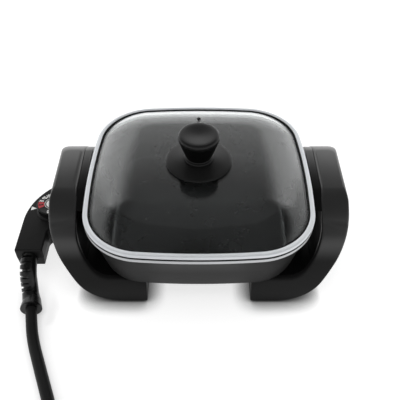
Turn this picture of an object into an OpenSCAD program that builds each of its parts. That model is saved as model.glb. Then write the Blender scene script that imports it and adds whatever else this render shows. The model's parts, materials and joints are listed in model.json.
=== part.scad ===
// Electric skillet: square pan on two side wings, lift-off glass lid, plug-in temperature control.
// Millimetres, +Z up, front towards -Y, table at z = 0.

/* [Lid] */
// Width of the square lid over its band
lid_w = 280; // [260:1:310]
// Radius of the gently bowed sides
side_r = 842; // [700:1:1200]
// Radius of the corners
corner_r = 73; // [71:1:84]
// Width of the band seen from above
band_w = 6; // [5:0.5:7]
// Height of the band
band_h = 7; // [6.6:0.1:9]
// Sheet thickness of the band
band_t = 0.8; // [0.6:0.1:0.9]
// Rounding of the band's outer edges
band_r = 2.5; // [1.5:0.1:3]
// Depth of the lip that locates the lid in the pan
lip_h = 3.5; // [2:0.5:5]
// Thickness of the glass
glass_t = 4; // [3:0.1:4.6]
// Rise of the glass above its edge
dome_h = 19; // [12:1:26]
// Width of the curved border of the glass
dome_run = 55; // [45:1:56]
// Distance of the steam vent from the middle
vent_y = 87; // [60:1:100]
// Bore of the steam vent
vent_d = 2.4; // [2:0.1:4]

/* [Knob] */
// Largest diameter of the knob
knob_d = 50; // [44:0.2:56]
// Height of the knob above the glass
knob_h = 42; // [38:1:48]
// Diameter of the knob's neck
knob_neck_d = 32; // [28:0.2:34]
// Diameter of the skirt below the knob
skirt_d = 82; // [64:1:90]
// Height of the skirt at its middle
skirt_h = 5.5; // [4:0.5:7]
// Diameter of the knob screw
knob_screw_d = 4; // [3:0.5:5]

/* [Pan] */
// Depth of the pan inside
pan_depth = 71; // [60:1:80]
// Thickness of the pan's floor
pan_floor_t = 4; // [4:0.5:6]
// Thickness of the pan's wall, measured level
pan_wall = 3.6; // [3:0.1:4]
// Lean of the pan's wall
pan_lean = 14; // [10:0.5:17]
// Height of the pan's rim
rim_h = 5; // [4:0.5:7]
// Overhang of the rim past the wall
rim_over = 3.2; // [2:0.1:4]
// Rounding between wall and floor, inside
pan_fillet = 13; // [8:1:15]

/* [Heating] */
// Radius of the heating element's loop
heat_r = 72; // [66:1:74]
// Diameter of the heating element
heat_d = 8; // [6:0.2:8.4]
// Distance between the terminal pins
pin_pitch = 20; // [19:0.5:22]
// Diameter of a terminal pin
pin_d = 4.4; // [4:0.1:5]
// Length of a terminal pin
pin_l = 28; // [24:1:32]

/* [Wings] */
// Reach of a wing past the lid
wing_reach = 41.5; // [38:0.5:46]
// Thickness of a wing from outside to inside
wing_t = 32; // [28:0.5:33]
// Height of a wing above the foot's underside
wing_h = 118; // [114:1:124]
// Length of a wing along its top
wing_top_l = 102; // [90:1:120]
// Length of a wing along its base
wing_base_l = 230; // [214:1:250]
// Wall of the wing shells and liners
wing_wall = 3; // [2:0.1:3.4]
// Height of a foot
foot_h = 34.5; // [33:0.5:38]
// Gap between foot and pan
foot_gap = 1.5; // [1:0.5:4]
// Distance of a foot's inner end from the lid's edge
foot_end = 75; // [66:1:80]
// Width of the arch between the legs
arch_w = 96; // [88:1:104]
// Height of the arch
arch_h = 58; // [52:1:64]
// Height of the rubber feet below the foot
pad_h = 2; // [1.5:0.5:4]
// Diameter of a rubber foot
pad_d = 16; // [12:1:20]
// Diameter of the leg screws
leg_screw_d = 4; // [3:0.5:5]

/* [Control] */
// Underside of the control
control_z0 = 26; // [24:0.5:27]
// Height of the control
control_h = 30; // [28:0.5:34]
// Width of the cable arm
arm_w = 35; // [32:0.5:40]
// Length of the cable arm in front of the dial's middle
arm_l = 76; // [70:1:84]
// Wall of the control housing
control_wall = 2.2; // [1.8:0.1:2.6]
// Diameter of the dial
dial_d = 40; // [34:0.5:42]
// Height of the dial
dial_h = 12; // [9:0.1:14]
// Diameter of the dial's shaft
shaft_d = 6; // [5:0.1:7]
// Width of the nose that plugs into the guard
nose_w = 33; // [30:0.5:36]
// Diameter of the sensor probe
probe_d = 6; // [5:0.1:6.4]

/* [Cord] */
// Diameter of the cord
cord_d = 14; // [13:0.2:14]
// Diameter of the strain relief over its ribs
relief_d = 20; // [18:0.5:22]
// Diameter of the bell mouth
bell_d = 27; // [24:0.5:28]
// Diameter of a plug pin
plug_pin_d = 4.8; // [4:0.4:4.8]

/* [Hidden] */
$fn = 64;
black = [0.06, 0.06, 0.065];
dark = [0.12, 0.12, 0.125];
steel = [0.78, 0.79, 0.8];
brass = [0.75, 0.62, 0.3];
white = [0.92, 0.91, 0.88];

// Clearances
fit = 0.1;
run = 0.3;
slide = 0.2;

// Lid outline: four bowed sides with tangent corner arcs
half = lid_w / 2;
bow_k = side_r - half;
bow_q = side_r - corner_r;
corner_c = (sqrt(2 * bow_q * bow_q - bow_k * bow_k) - bow_k) / 2;
corner_a = atan2(corner_c, corner_c + bow_k);

// Heights
foot_z = pad_h;
wing_z1 = foot_z + wing_h;
pan_z0 = foot_z + foot_h + foot_gap;
floor_z = pan_z0 + pan_floor_t;
rim_z1 = floor_z + pan_depth;
rim_z0 = rim_z1 - rim_h;
lid_z0 = rim_z1 + run;
lid_z1 = lid_z0 + band_h;
glass_z0 = lid_z0 + (band_h - glass_t) / 2;
glass_z1 = glass_z0 + glass_t;
top_z = glass_z1 + dome_h;

// Pan section
rim_in = 0.3;
rim_round = 1;
pan_round = pan_fillet + pan_floor_t;
wall_x = -rim_in - rim_over;
wall_s = tan(pan_lean);

// Lid section
lip_in = 7.6;
seal_web = 1.2;
seal_show = 1.8;
seal_gap = 0.2;
glass_edge = band_r + seal_web + fit;
dome_x = band_w + seal_show + seal_gap;
dome_r = (dome_run * dome_run + dome_h * dome_h) / (2 * dome_h);
dome_zc = top_z - dome_r;
dome_in = dome_x + dome_run;
screw_hole = 0.25;
vent_wall = 0.7;
vent_brim = 1.4;
vent_brim_t = 0.8;
vent_under = 1.9;
washer_d = 22;
washer_t = 1.2;
gasket_d = 24;
gasket_t = 1;
knob_screw_in = 15;
knob_hollow = 0.8;
collar = 2.6;
collar_h = 3.6;
knob_head_h = 2.6;

// Heating element below the pan
heat_bend = 18;
rib_w = 14;
rib_h = 6;
heat_z = pan_z0 - heat_d / 2 - slide;
heat_bend_y = pin_pitch / 2 + heat_bend;
heat_bend_x = -sqrt(pow(heat_r + heat_bend, 2) - pow(heat_bend_y, 2));
heat_bend_a = atan2(heat_bend_y, -heat_bend_x);
pin_root = 22;
heat_end_x = pin_root - half;
pin_end_x = heat_end_x - pin_l;
well_wall = 1.9;
well_bore = probe_d + 0.8;
well_d = well_bore + 2 * well_wall;
well_reach = 80;
well_end = 3;
well_in_x = well_reach - half;
probe_short = 6;
probe_tip_x = well_in_x - probe_short;

// Terminal guard round the pins
guard_wall = 2;
guard_gap = 1.5;
guard_set = 4;
guard_x1 = heat_end_x - guard_set;
guard_x0 = pin_end_x - guard_set;
guard_w = nose_w + 2 * (guard_gap + guard_wall);
bead_wall = 2.3;
bead_d = pin_d + 2 * bead_wall;
bead_l = 7;
guard_tab_t = 1.8;
guard_tab_l = 34;
guard_tab_w = 6;
guard_screw_d = 3;
guard_head_d = 5.4;
guard_head_h = 1.8;
tab_end = 6;
tab_gap = 0.5;
floor_skin = 1.5;
guard_screw_x = guard_x1 + guard_tab_l - tab_end;
guard_screw_y = pin_pitch / 2 + heat_d / 2 + tab_gap + guard_tab_w / 2;

// Wings
wing_x1 = half + wing_reach;
wing_x0 = wing_x1 - wing_t;
wing_bend_h = 104;
wing_bend_z = foot_z + wing_bend_h;
wing_bend_r = 105;
wing_turn = 33;
wing_cx = wing_x1 - wing_bend_r;
toe_r = 70;
liner_bend_h = 92;
liner_bend_z = foot_z + liner_bend_h;
liner_r = 73;
liner_turn = 40;
liner_cx = wing_x0 - liner_r;
wing_back = 6;
rear_round = 34;
front_round = 36;
foot_x0 = half - foot_end;
lean_top = 34;
lean_base = 2;
ledge_drop = 0.8;
ledge_h = 9;
ledge_z1 = wing_z1 - ledge_drop;
ledge_gap = 1.2;
arch_r = 12;
boss_in_x = 48;
boss_in_y = 60;
boss_x = half - boss_in_x;
boss_y = half - boss_in_y;
boss_d = 14;
boss_h = 8;
leg_boss_d = 13;
spacer_t = 2;
head_over = 1.8;
head_d = leg_screw_d + 2 * head_over;
head_h = 2.8;
head_sunk = 3;
head_z = foot_z + wing_wall + head_sunk;
leg_screw_in = 1.5;
pad_in_x = 58;
pad_in_y = 40;
pad_x = half - pad_in_x;
pad_y = half - pad_in_y;
pad_stem_d = 6;

// Control, to the left of the left wing
control_in = 13.5;
control_x1 = control_in - wing_x1;
control_z1 = control_z0 + control_h;
lower_h = 16.5;
split_z = control_z0 + lower_h;
control_w = 63.5;
control_x0 = control_x1 - control_w;
arm_x = control_x0 + arm_w / 2;
arm_y = -arm_l;
bulge_r = 83;
bulge_y = -29;
bulge_x = control_x0 + bulge_r;
plug_y = -38;
plug_round = 8;
leg_ease = 1.5;
leg_ease_y = 33;
leg_ease_run = 6;
dial_in = 26.5;
dial_x = control_x1 - dial_in;
dial_y = -5;
dial_lip = 2;
dial_lip_h = 1.4;
dial_z0 = control_z1 + run;
dial_round = 1.2;
shaft_in = 2.1;
nose_h = 11;
nose_gap = 2;
nose_x1 = guard_x1 - guard_wall - nose_gap;
flange_t = 4;
flange_over = 3;
flange_w = nose_w + 2 * flange_over;
flange_h = 13;
sleeve_wall = 1;
sleeve_bore = pin_d + 2 * slide;
sleeve_d = sleeve_bore + 2 * sleeve_wall;
sleeve_set = 2;
sleeve_in = 10;
sleeve_deep = 4;
sleeve_x1 = nose_x1 - sleeve_set;
sleeve_x0 = control_x1 - sleeve_in;
post_d = 7;
post_screw_d = 3;
post_head_d = 5.6;
post_head_h = 2;
post_screw_in = 8;
post_sunk = 1;
posts = [[control_x0 + post_d, arm_y + 32], [control_x1 - 11, 32], [control_x1 - 7.5, plug_y + 9]];
frame_back = 16;
frame_front = 8;
frame_x0 = dial_x - frame_back;
frame_x1 = dial_x + frame_front;
frame_w = 18;
frame_t = 1.5;
frame_over = 3.5;
frame_top = split_z + frame_over;
frame_z0 = control_z0 + control_wall;
blade_l = 18;
blade_w = 8;
blade_t = 0.8;
blade_rise = 3.5;
bimetal_z = frame_z0 + blade_rise;
blade_z = bimetal_z + blade_rise;
cam_z = blade_z + blade_t + run;
cam_h = 3;
cam_d = 13;
cam_off = 1.5;
relief_flange = 3;
tail_y0 = arm_y + control_wall + relief_flange;
tail_l = 21;
clamp_in = 13;
clamp_y0 = arm_y + clamp_in;
clamp_l = 8;
clamp_wall = 4;
clamp_w = cord_d + 2 * clamp_wall;
wire_d = 2.8;

// Strain relief: two equal arcs that step down to the table
relief_up = 0.5;
relief_z = split_z + relief_up;
relief_yaw = 8;
relief_bend = 27.6;
rib_rise = 1.6;
relief_core_d = relief_d - 2 * rib_rise;
relief_ribs = 8;
bell_lift = 1;
relief_drop = relief_z - bell_d / 2 - bell_lift;
relief_a = acos(1 - relief_drop / (2 * relief_bend));
bell_l = 11;
bell_wall = 1.6;
bell_floor = 2;
groove = 0.15;

// Cord route on the table, then the coil in front of the view
route = [[-203, -148, 12.6], [-199, -165.3, 9], [-193, -182.5, 7.2], [-186, -198.7, 7], [-178, -217, 7],
         [-170, -235, 7], [-162.7, -252.2, 7], [-157.5, -270.5, 7], [-154, -290, 7.6], [-152.3, -310, 8.2],
         [-152, -330, 8.3]];
coil_x = -75;
coil_y = -346;
coil_lift = 1.3;
coil_out = 77;
turn_gap = 0.6;
coil_step = cord_d + turn_gap;
coil_turns = 2.25;
coil_rings = 24;
tie_ring = 15;
tie_w = 8;
tie_t = 0.6;
tie_gap = 0.65;
plug_l = 40;
plug_w = 36;
plug_h = 18;
plug_z = plug_h / 2;
plug_neck_l = 18;
plug_pin_l = 19;
plug_pin_pitch = 19;
plug_earth = 3;
plug_pin_in = 8;

// The whole part is centred on its own width
shift_x = (-control_x0 - wing_x1) / 2;
module placed() {
    translate([shift_x, 0, 0]) children();
}

// Points on an arc, from angle a0 to a1
function arc(x, y, r, a0, a1, n = 10) =
    [for (i = [0 : n]) [x + r * cos(a0 + (a1 - a0) * i / n), y + r * sin(a0 + (a1 - a0) * i / n)]];

// The lid's outline moved outwards by d, as points
side_steps = 6;
corner_steps = 9;
function outline(d) = [
    for (i = [0 : 3], j = [0 : side_steps + corner_steps - 1])
        let (p = j < side_steps
                 ? [-bow_k, 0] + (side_r + d) * toward(corner_a * (2 * j / side_steps - 1))
                 : [corner_c, corner_c] + (corner_r + d)
                   * toward(corner_a + (90 - 2 * corner_a) * (j - side_steps) / corner_steps))
            p[0] * toward(90 * i) + p[1] * toward(90 * i + 90)
];
function toward(a) = [cos(a), sin(a)];

// A closed skin over rings of points, one ring after the other, with flat ends or joined to itself
module loft(rings, joined = false) {
    n = len(rings[0]);
    last = len(rings) - 1;
    skin = [
        for (i = [0 : joined ? last : last - 1], k = [0 : n - 1])
            let (a = i * n, b = (i + 1) % (last + 1) * n, l = (k + 1) % n)
                each [[a + k, a + l, b + l], [a + k, b + l, b + k]]
    ];
    ends = [[for (k = [n - 1 : -1 : 0]) k], [for (k = [0 : n - 1]) last * n + k]];
    polyhedron([for (r = rings) each r], concat(skin, joined ? [] : ends), convexity = 6);
}

// A section carried round the lid's outline: x is measured outwards from it, y is the height
module round_outline(section, joined = false) {
    loft([for (s = section) [for (p = outline(s[0])) [p[0], p[1], s[1]]]], joined);
}

module tube_z(d, bore, z0, z1) {
    translate([0, 0, z0])
        difference() {
            cylinder(d = d, h = z1 - z0);
            translate([0, 0, -1]) cylinder(d = bore, h = z1 - z0 + 2);
        }
}

module rod_x(d, x0, x1) {
    translate([x0, 0, 0]) rotate([0, 90, 0]) cylinder(d = d, h = x1 - x0);
}

module rod_y(d, y0, y1) {
    translate([0, y1, 0]) rotate([90, 0, 0]) cylinder(d = d, h = y1 - y0);
}

module block(x0, x1, y0, y1, z0, z1) {
    translate([x0, y0, z0]) cube([x1 - x0, y1 - y0, z1 - z0]);
}

// Four places, one in each quarter
module quarters(x, y) {
    for (sx = [-1, 1], sy = [-1, 1]) translate([sx * x, sy * y, 0]) children();
}

// Smooth curve through points
function curve_at(a, b, c, d, t) =
    0.5 * (2 * b + (c - a) * t + (2 * a - 5 * b + 4 * c - d) * t * t + (3 * b - a - 3 * c + d) * t * t * t);
function through(pts, n) = [
    for (i = [0 : len(pts) - 2], j = [0 : n - 1])
        curve_at(pts[max(i - 1, 0)], pts[i], pts[i + 1], pts[min(i + 2, len(pts) - 1)], j / n),
    pts[len(pts) - 1]
];
function unit(v) = v / norm(v);
function turned(pts) = [for (i = [len(pts) - 1 : -1 : 0]) pts[i]];

// One unbroken round tube along points
function ring(p, along, r, sides) =
    let (across = unit(cross(along, [0, 0, 1])), above = cross(across, along))
        [for (k = [0 : sides - 1]) p + r * (cos(360 * k / sides) * across + sin(360 * k / sides) * above)];
module tube(pts, d, sides) {
    last = len(pts) - 1;
    along = [for (i = [0 : last]) unit(pts[min(i + 1, last)] - pts[max(i - 1, 0)])];
    loft([for (i = [0 : last]) ring(pts[i], along[i], d / 2, sides)]);
}

// Pan: rim, leaning wall and floor in one casting, with the rib, well and bosses below
function pan_wall_at(z, inside) = wall_x - inside - wall_s * (rim_z0 - z);
function pan_bend(z0, r, inside) =
    let (z = z0 + r, x = pan_wall_at(z - r * sin(pan_lean), inside) - r * cos(pan_lean))
        arc(x, z, r, -pan_lean, -90, 6);
function pan_section() = concat(
    turned(pan_bend(floor_z, pan_fillet, pan_wall)),
    [[pan_wall_at(rim_z1, pan_wall), rim_z1]],
    arc(-rim_in - rim_round, rim_z1 - rim_round, rim_round, 90, 0, 3),
    arc(-rim_in - rim_round, rim_z0 + rim_round, rim_round, 0, -90, 3),
    [[wall_x, rim_z0]],
    pan_bend(pan_z0, pan_round, 0)
);
module pan() {
    color(dark) placed() difference() {
        union() {
            round_outline(pan_section());
            heater_rib();
            translate([0, 0, heat_z]) rod_x(well_d, heat_end_x, well_in_x);
            block(heat_end_x + 14, well_in_x, -well_d / 3, well_d / 3, heat_z, pan_z0 + 1);
            quarters(boss_x, boss_y)
                translate([0, 0, pan_z0 - boss_h]) cylinder(d = boss_d, h = boss_h + 1);
        }
        translate([0, 0, heat_z]) heater_loop(heat_d + 4 * fit);
        translate([0, 0, heat_z]) rod_x(well_bore, heat_end_x - 1, well_in_x - well_end);
        quarters(boss_x, boss_y) translate([0, 0, pan_z0 - boss_h - 1])
            cylinder(d = leg_screw_d + fit, h = boss_h + 1 + leg_screw_in);
        for (s = [-1, 1]) translate([guard_screw_x, s * guard_screw_y, pan_z0 - 1])
            cylinder(d = guard_screw_d + fit, h = 1 + pan_floor_t - floor_skin);
    }
}

// The rib is open where the element turns out to its terminals
module heater_rib() {
    difference() {
        tube_z(2 * heat_r + rib_w, 2 * heat_r - rib_w, pan_z0 - rib_h, pan_z0 + 1);
        block(heat_bend_x, -heat_r + rib_w, -heat_bend_y, heat_bend_y, 0, pan_z0 + 2);
    }
}

module heater_loop(d) {
    rotate(heat_bend_a - 180)
        rotate_extrude(angle = 360 - 2 * heat_bend_a) translate([heat_r, 0]) circle(d = d);
}

// The element's path: terminal, bend, loop, bend, terminal
heat_bend_path = arc(heat_bend_x, heat_bend_y, heat_bend, -90, -heat_bend_a, 6);
heat_half = concat([[heat_end_x, pin_pitch / 2]], heat_bend_path);
heat_path = concat(heat_half, arc(0, 0, heat_r, 175 - heat_bend_a, heat_bend_a - 175, 60),
                   turned([for (p = heat_half) [p[0], -p[1]]]));
module heating_element() {
    color([0.45, 0.44, 0.43]) placed() tube([for (p = heat_path) [p[0], p[1], heat_z]], heat_d, 10);
}

module pin_places() {
    for (s = [-1, 1]) translate([0, s * pin_pitch / 2, heat_z]) children();
}

module terminal_pins() {
    color(steel) placed() pin_places() rod_x(pin_d, pin_end_x, heat_end_x);
}

module pin_insulators() {
    color(white) placed() pin_places() difference() {
        rod_x(bead_d, heat_end_x - bead_l, heat_end_x);
        rod_x(pin_d + fit, heat_end_x - bead_l - 1, heat_end_x + 1);
    }
}

module terminal_guard() {
    inner_w = guard_w / 2 - guard_wall;
    inner_h = nose_h / 2 + guard_gap;
    outer_h = inner_h + guard_wall;
    color(black) placed() difference() {
        union() {
            block(guard_x0, guard_x1, -guard_w / 2, guard_w / 2, heat_z - outer_h, heat_z + outer_h);
            for (s = [-1, 1]) translate([0, s * guard_screw_y, 0])
                block(guard_x1 - 1, guard_x1 + guard_tab_l, -guard_tab_w / 2, guard_tab_w / 2,
                      pan_z0 - guard_tab_t, pan_z0);
        }
        block(guard_x0 - 1, guard_x1 - guard_wall, -inner_w, inner_w, heat_z - inner_h, heat_z + inner_h);
        pin_places() rod_x(bead_d + 2 * fit, guard_x1 - guard_wall - 1, guard_x1 + 1);
        translate([0, 0, heat_z]) rod_x(probe_d + 2, guard_x1 - guard_wall - 1, guard_x1 + 1);
        for (s = [-1, 1]) translate([guard_screw_x, s * guard_screw_y, pan_z0 - guard_tab_t - 1])
            cylinder(d = guard_screw_d + 2 * fit, h = guard_tab_t + 2);
    }
}

module screw_up(d, head, head_t, z_head, z_tip) {
    translate([0, 0, z_head - head_t]) cylinder(d = head, h = head_t);
    translate([0, 0, z_head - 0.01]) cylinder(d = d, h = z_tip - z_head);
}

module guard_screws() {
    color(steel) placed() for (s = [-1, 1]) translate([guard_screw_x, s * guard_screw_y, 0])
        screw_up(guard_screw_d, guard_head_d, guard_head_h, pan_z0 - guard_tab_t,
                 pan_z0 + pan_floor_t - floor_skin - run);
}

// Wing: a C-shaped band, narrowed towards its top by an S-curve at both ends
function wing_curve(inset) =
    let (r = wing_bend_r - inset,
         end = [wing_cx, wing_bend_z] + wing_bend_r * toward(-wing_turn),
         straight = (end[1] - foot_z - toe_r * (1 - sin(wing_turn))) / cos(wing_turn),
         x = end[0] - straight * sin(wing_turn) - toe_r * cos(wing_turn))
        concat(arc(wing_cx, wing_bend_z, r, 0, -wing_turn, 16),
               arc(x, foot_z + toe_r, toe_r - inset, -wing_turn, -90, 12));
function liner_curve(inset) =
    let (toe = (liner_bend_z - liner_r * sin(liner_turn) - foot_z - foot_h) / (1 - sin(liner_turn)),
         x = liner_cx + (liner_r - toe) * cos(liner_turn))
        concat(arc(liner_cx, liner_bend_z, liner_r + inset, 0, -liner_turn, 16),
               arc(x, foot_z + foot_h + toe, toe + inset, -liner_turn, -90, 12));
module band_section(inset, inner, top, end) {
    polygon(concat(
        [[wing_x0 + inner, wing_z1 - top], [wing_x1 - inset, wing_z1 - top]],
        wing_curve(inset),
        [[foot_x0 + end, foot_z + inset], [foot_x0 + end, foot_z + foot_h - inner]],
        turned(liner_curve(inner))
    ));
}

function s_end(z, b) =
    let (t = (z - foot_z) / wing_h, a = wing_base_l / 2,
         m0 = -tan(lean_base) * wing_h, m1 = -tan(lean_top) * wing_h)
        a * (2 * t * t * t - 3 * t * t + 1) + m0 * (t * t * t - 2 * t * t + t)
        + b * (3 * t * t - 2 * t * t * t) + m1 * (t * t * t - t * t);
function s_point(z, inset, b) =
    let (slope = (s_end(z + 0.5, b) - s_end(z - 0.5, b)), across = unit([1, -slope]))
        [s_end(z, b), z] - inset * across;

// One end of a wing, from below the foot up to the middle of its rounded top edge
function s_edge(inset, b, r) =
    let (steps = 24, z1 = wing_z1 - r * (1 - sin(lean_top)))
        concat([for (i = [-2 : steps - 1]) s_point(foot_z + (z1 - foot_z) * i / steps, inset, b)],
               arc(b - r * tan(45 - lean_top / 2), wing_z1 - r, r - inset, lean_top, 90, 10));
module end_section(inset) {
    front = s_edge(inset, wing_top_l / 2, front_round);
    rear = s_edge(inset, wing_top_l / 2 + wing_back, rear_round);
    polygon(concat(rear, [for (p = turned(front)) [-p[0], p[1]]]));
}

module along_y() {
    rotate([90, 0, 0]) linear_extrude(2 * lid_w, center = true) children();
}
module along_x() {
    rotate([90, 0, 90]) linear_extrude(4 * lid_w, center = true) children();
}

// The arch between the legs, grown by d
module arch(d) {
    w = arch_w / 2 + d;
    r = arch_r + d;
    polygon(concat([[w, -1], [w, arch_h + d - r]], arc(w - r, arch_h + d - r, r, 0, 90, 8),
                   arc(r - w, arch_h + d - r, r, 90, 180, 8), [[-w, -1]]));
}

module wing_shell() {
    difference() {
        intersection() {
            along_y() band_section(0, 0, -1, 0);
            along_x() end_section(0);
        }
        difference() {
            intersection() {
                along_y() band_section(wing_wall, -1, -1, wing_wall);
                along_x() end_section(wing_wall);
            }
            along_x() arch(wing_wall);
            quarters(boss_x, boss_y) cylinder(d = leg_boss_d, h = pan_z0 - boss_h - spacer_t);
        }
        along_x() arch(0);
        quarters(boss_x, boss_y) {
            translate([0, 0, foot_z - 1]) cylinder(d = head_d + 2 * run, h = head_z - foot_z + 1);
            cylinder(d = leg_screw_d + 2 * run, h = pan_z0);
        }
        quarters(pad_x, pad_y) cylinder(d = pad_stem_d + 2 * fit, h = pan_z0);
    }
}

// Ledge between the wing's top and the lid, which grows out of the liner
module ledge() {
    intersection() {
        block(half + ledge_gap, wing_x0 - fit, -half, half, ledge_z1 - ledge_h, wing_z1);
        along_x() end_section(ledge_drop);
    }
    intersection() {
        block(wing_x0 - 1, wing_x0 + 1, -half, half, ledge_z1 - ledge_h, wing_z1 - wing_wall - fit);
        along_x() end_section(wing_wall + fit);
    }
}

module wing_liner() {
    difference() {
        union() {
            intersection() {
                difference() {
                    along_y() band_section(wing_wall + fit, 0, -2, wing_wall + fit);
                    along_y() band_section(-1, wing_wall, -3, -1);
                }
                along_x() end_section(wing_wall + fit);
            }
            ledge();
        }
        along_x() arch(wing_wall + fit);
        quarters(boss_x, boss_y) cylinder(d = boss_d + 2, h = pan_z0);
    }
}

module left_wing() {
    color(black) placed() mirror([1, 0, 0]) wing_shell();
}
module right_wing() {
    color(black) placed() wing_shell();
}
module left_wing_liner() {
    color(black) placed() mirror([1, 0, 0]) wing_liner();
}
module right_wing_liner() {
    color(black) placed() wing_liner();
}

module leg_screws() {
    color(steel) placed() quarters(boss_x, boss_y)
        screw_up(leg_screw_d, head_d, head_h, head_z, pan_z0 + leg_screw_in - 0.5);
}

module heat_spacers() {
    color(white) placed() quarters(boss_x, boss_y)
        tube_z(leg_boss_d, leg_screw_d + 2 * run, pan_z0 - boss_h - spacer_t, pan_z0 - boss_h);
}

module rubber_feet() {
    color([0.1, 0.1, 0.1]) placed() quarters(pad_x, pad_y) {
        cylinder(d = pad_d, h = pad_h);
        translate([0, 0, pad_h - 0.01]) cylinder(d = pad_stem_d, h = wing_wall);
    }
}

// Lid
module lid_glass() {
    inner_r = dome_r - glass_t;
    start = atan2(glass_z1 - dome_zc, dome_run);
    low = asin((glass_z0 - dome_zc) / inner_r);
    color([0.7, 0.78, 0.8, 0.4]) placed() difference() {
        round_outline(concat(
            arc(-dome_in, dome_zc, dome_r, 90, start, 8),
            [[-glass_edge, glass_z1], [-glass_edge, glass_z0]],
            arc(-dome_in, dome_zc, inner_r, low, 90, 8)
        ));
        translate([0, 0, glass_z0]) cylinder(d = knob_screw_d + 2 * screw_hole, h = dome_h + glass_t + 1);
        translate([0, vent_y, glass_z0])
            cylinder(d = vent_d + 2 * (vent_wall + slide), h = dome_h + glass_t + 1);
    }
}

module lid_rim() {
    in_r = band_r - band_t;
    color(steel) placed() round_outline(concat(
        [[-band_w, lid_z1]],
        arc(-band_r, lid_z1 - band_r, band_r, 90, 0, 4),
        arc(-band_r, lid_z0 + band_r, band_r, 0, -90, 4),
        [[-lip_in, lid_z0], [-lip_in, lid_z0 - lip_h], [-lip_in - band_t, lid_z0 - lip_h],
         [-lip_in - band_t, lid_z0 + band_t]],
        arc(-band_r, lid_z0 + band_r, in_r, -90, 0, 2),
        arc(-band_r, lid_z1 - band_r, in_r, 0, 90, 2),
        [[-band_w, lid_z1 - band_t]]
    ), joined = true);
}

module lid_seal() {
    web = band_r + seal_web;
    low_end = lip_in + band_t;
    top_end = band_w + seal_show;
    color([0.08, 0.08, 0.08]) placed() round_outline([
        [-top_end, glass_z1], [-top_end, lid_z1 - band_t], [-band_r, lid_z1 - band_t],
        [-band_r, lid_z0 + band_t], [-low_end, lid_z0 + band_t], [-low_end, glass_z0],
        [-web, glass_z0], [-web, glass_z1]
    ], joined = true);
}

module steam_vent() {
    fall = max(0, vent_y + dome_in - half);
    front = max(0, fall - vent_d / 2 - vent_brim);
    under = top_z - (dome_r - sqrt(pow(dome_r, 2) - pow(fall, 2))) - glass_t - vent_under + vent_brim_t;
    seat = top_z - (dome_r - sqrt(pow(dome_r, 2) - pow(front, 2))) + fit;
    color(black) placed() translate([0, vent_y, 0]) {
        tube_z(vent_d + 2 * vent_wall, vent_d, under - vent_brim_t / 2, seat + vent_brim_t / 2);
        tube_z(vent_d + 2 * vent_brim, vent_d, seat, seat + vent_brim_t);
        tube_z(vent_d + 2 * vent_brim, vent_d, under - vent_brim_t, under);
    }
}

module knob_skirt() {
    r = skirt_d / 2;
    neck = knob_neck_d / 2 + collar + 0.1;
    lip = 2.4;
    color(black) placed() translate([0, 0, top_z]) rotate_extrude() polygon(concat(
        [[knob_screw_d / 2 + screw_hole, 0], [r, 0]],
        arc(r - 1.2, lip - 1.2, 1.2, 0, 80, 5),
        [[neck, skirt_h], [knob_screw_d / 2 + screw_hole, skirt_h]]
    ));
}

module knob() {
    neck = knob_neck_d / 2;
    neck_z = skirt_h + 4.5;
    lip_z = knob_h - 8;
    lip_r = knob_d / 2 - 1.2;
    waist = (neck + lip_r) / 2 - knob_hollow;
    crown = 3.5;
    color(black) placed() translate([0, 0, top_z]) difference() {
        rotate_extrude() polygon(concat(
            [[0, skirt_h], [neck + collar, skirt_h], [neck + collar, skirt_h + collar_h - 1],
             [neck + 0.6, skirt_h + collar_h]],
            through([[neck, neck_z], [waist, (neck_z + lip_z) / 2], [lip_r, lip_z]], 5),
            [[knob_d / 2, lip_z + 2.2]],
            arc(knob_d / 2 - crown, knob_h - crown, crown, 0, 80, 6),
            [[knob_d / 4, knob_h - 0.5], [0, knob_h - 0.9]]
        ));
        translate([0, 0, skirt_h - 1]) cylinder(d = knob_screw_d + fit, h = knob_screw_in + 2);
    }
}

// Gasket and washer between the glass and the screw head
gasket_z = top_z - glass_t;
washer_z = gasket_z - gasket_t;
module knob_gasket() {
    color([0.1, 0.1, 0.1]) placed()
        tube_z(gasket_d, knob_screw_d + 2 * screw_hole, gasket_z - gasket_t, gasket_z);
}

module knob_washer() {
    color(steel) placed()
        tube_z(washer_d, knob_screw_d + 2 * screw_hole, washer_z - washer_t, washer_z);
}

module knob_screw() {
    color(steel) placed() screw_up(knob_screw_d, 2 * knob_screw_d, knob_head_h, washer_z - washer_t,
                                   top_z + skirt_h + knob_screw_in);
}

// Control housing outline, drawn in by d and set back where the wing's leg passes it
function control_outline(d) =
    let (x0 = control_x0 + d, x1 = control_x1 - d, arm_x1 = control_x0 + arm_w - d, r = bulge_r - d,
         low = plug_y + d, round_x = arm_x1 + plug_round + d, round_y = low - plug_round - d,
         ease_x = x1 - leg_ease, start = acos((ease_x - bulge_x) / r))
        concat([[x0, arm_y + d], [arm_x1, arm_y + d]],
               arc(round_x, round_y, plug_round + d, 180, 90, 8),
               [[x1, low], [x1, leg_ease_y], [ease_x, leg_ease_y + leg_ease_run]],
               arc(bulge_x, bulge_y, r, start, 180, 24));

module control_solid(d, z0, z1) {
    translate([0, 0, z0]) linear_extrude(z1 - z0) polygon(control_outline(d));
}

module nose_hole(d) {
    block(control_x1 - control_wall - 1, control_x1 + 1, -nose_w / 2 - d, nose_w / 2 + d,
          heat_z - nose_h / 2 - d, heat_z + nose_h / 2 + d);
}

module relief_hole() {
    translate([arm_x, 0, relief_z]) rod_y(relief_core_d + 2 * groove, arm_y - 1, arm_y + control_wall + 1);
}

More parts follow.
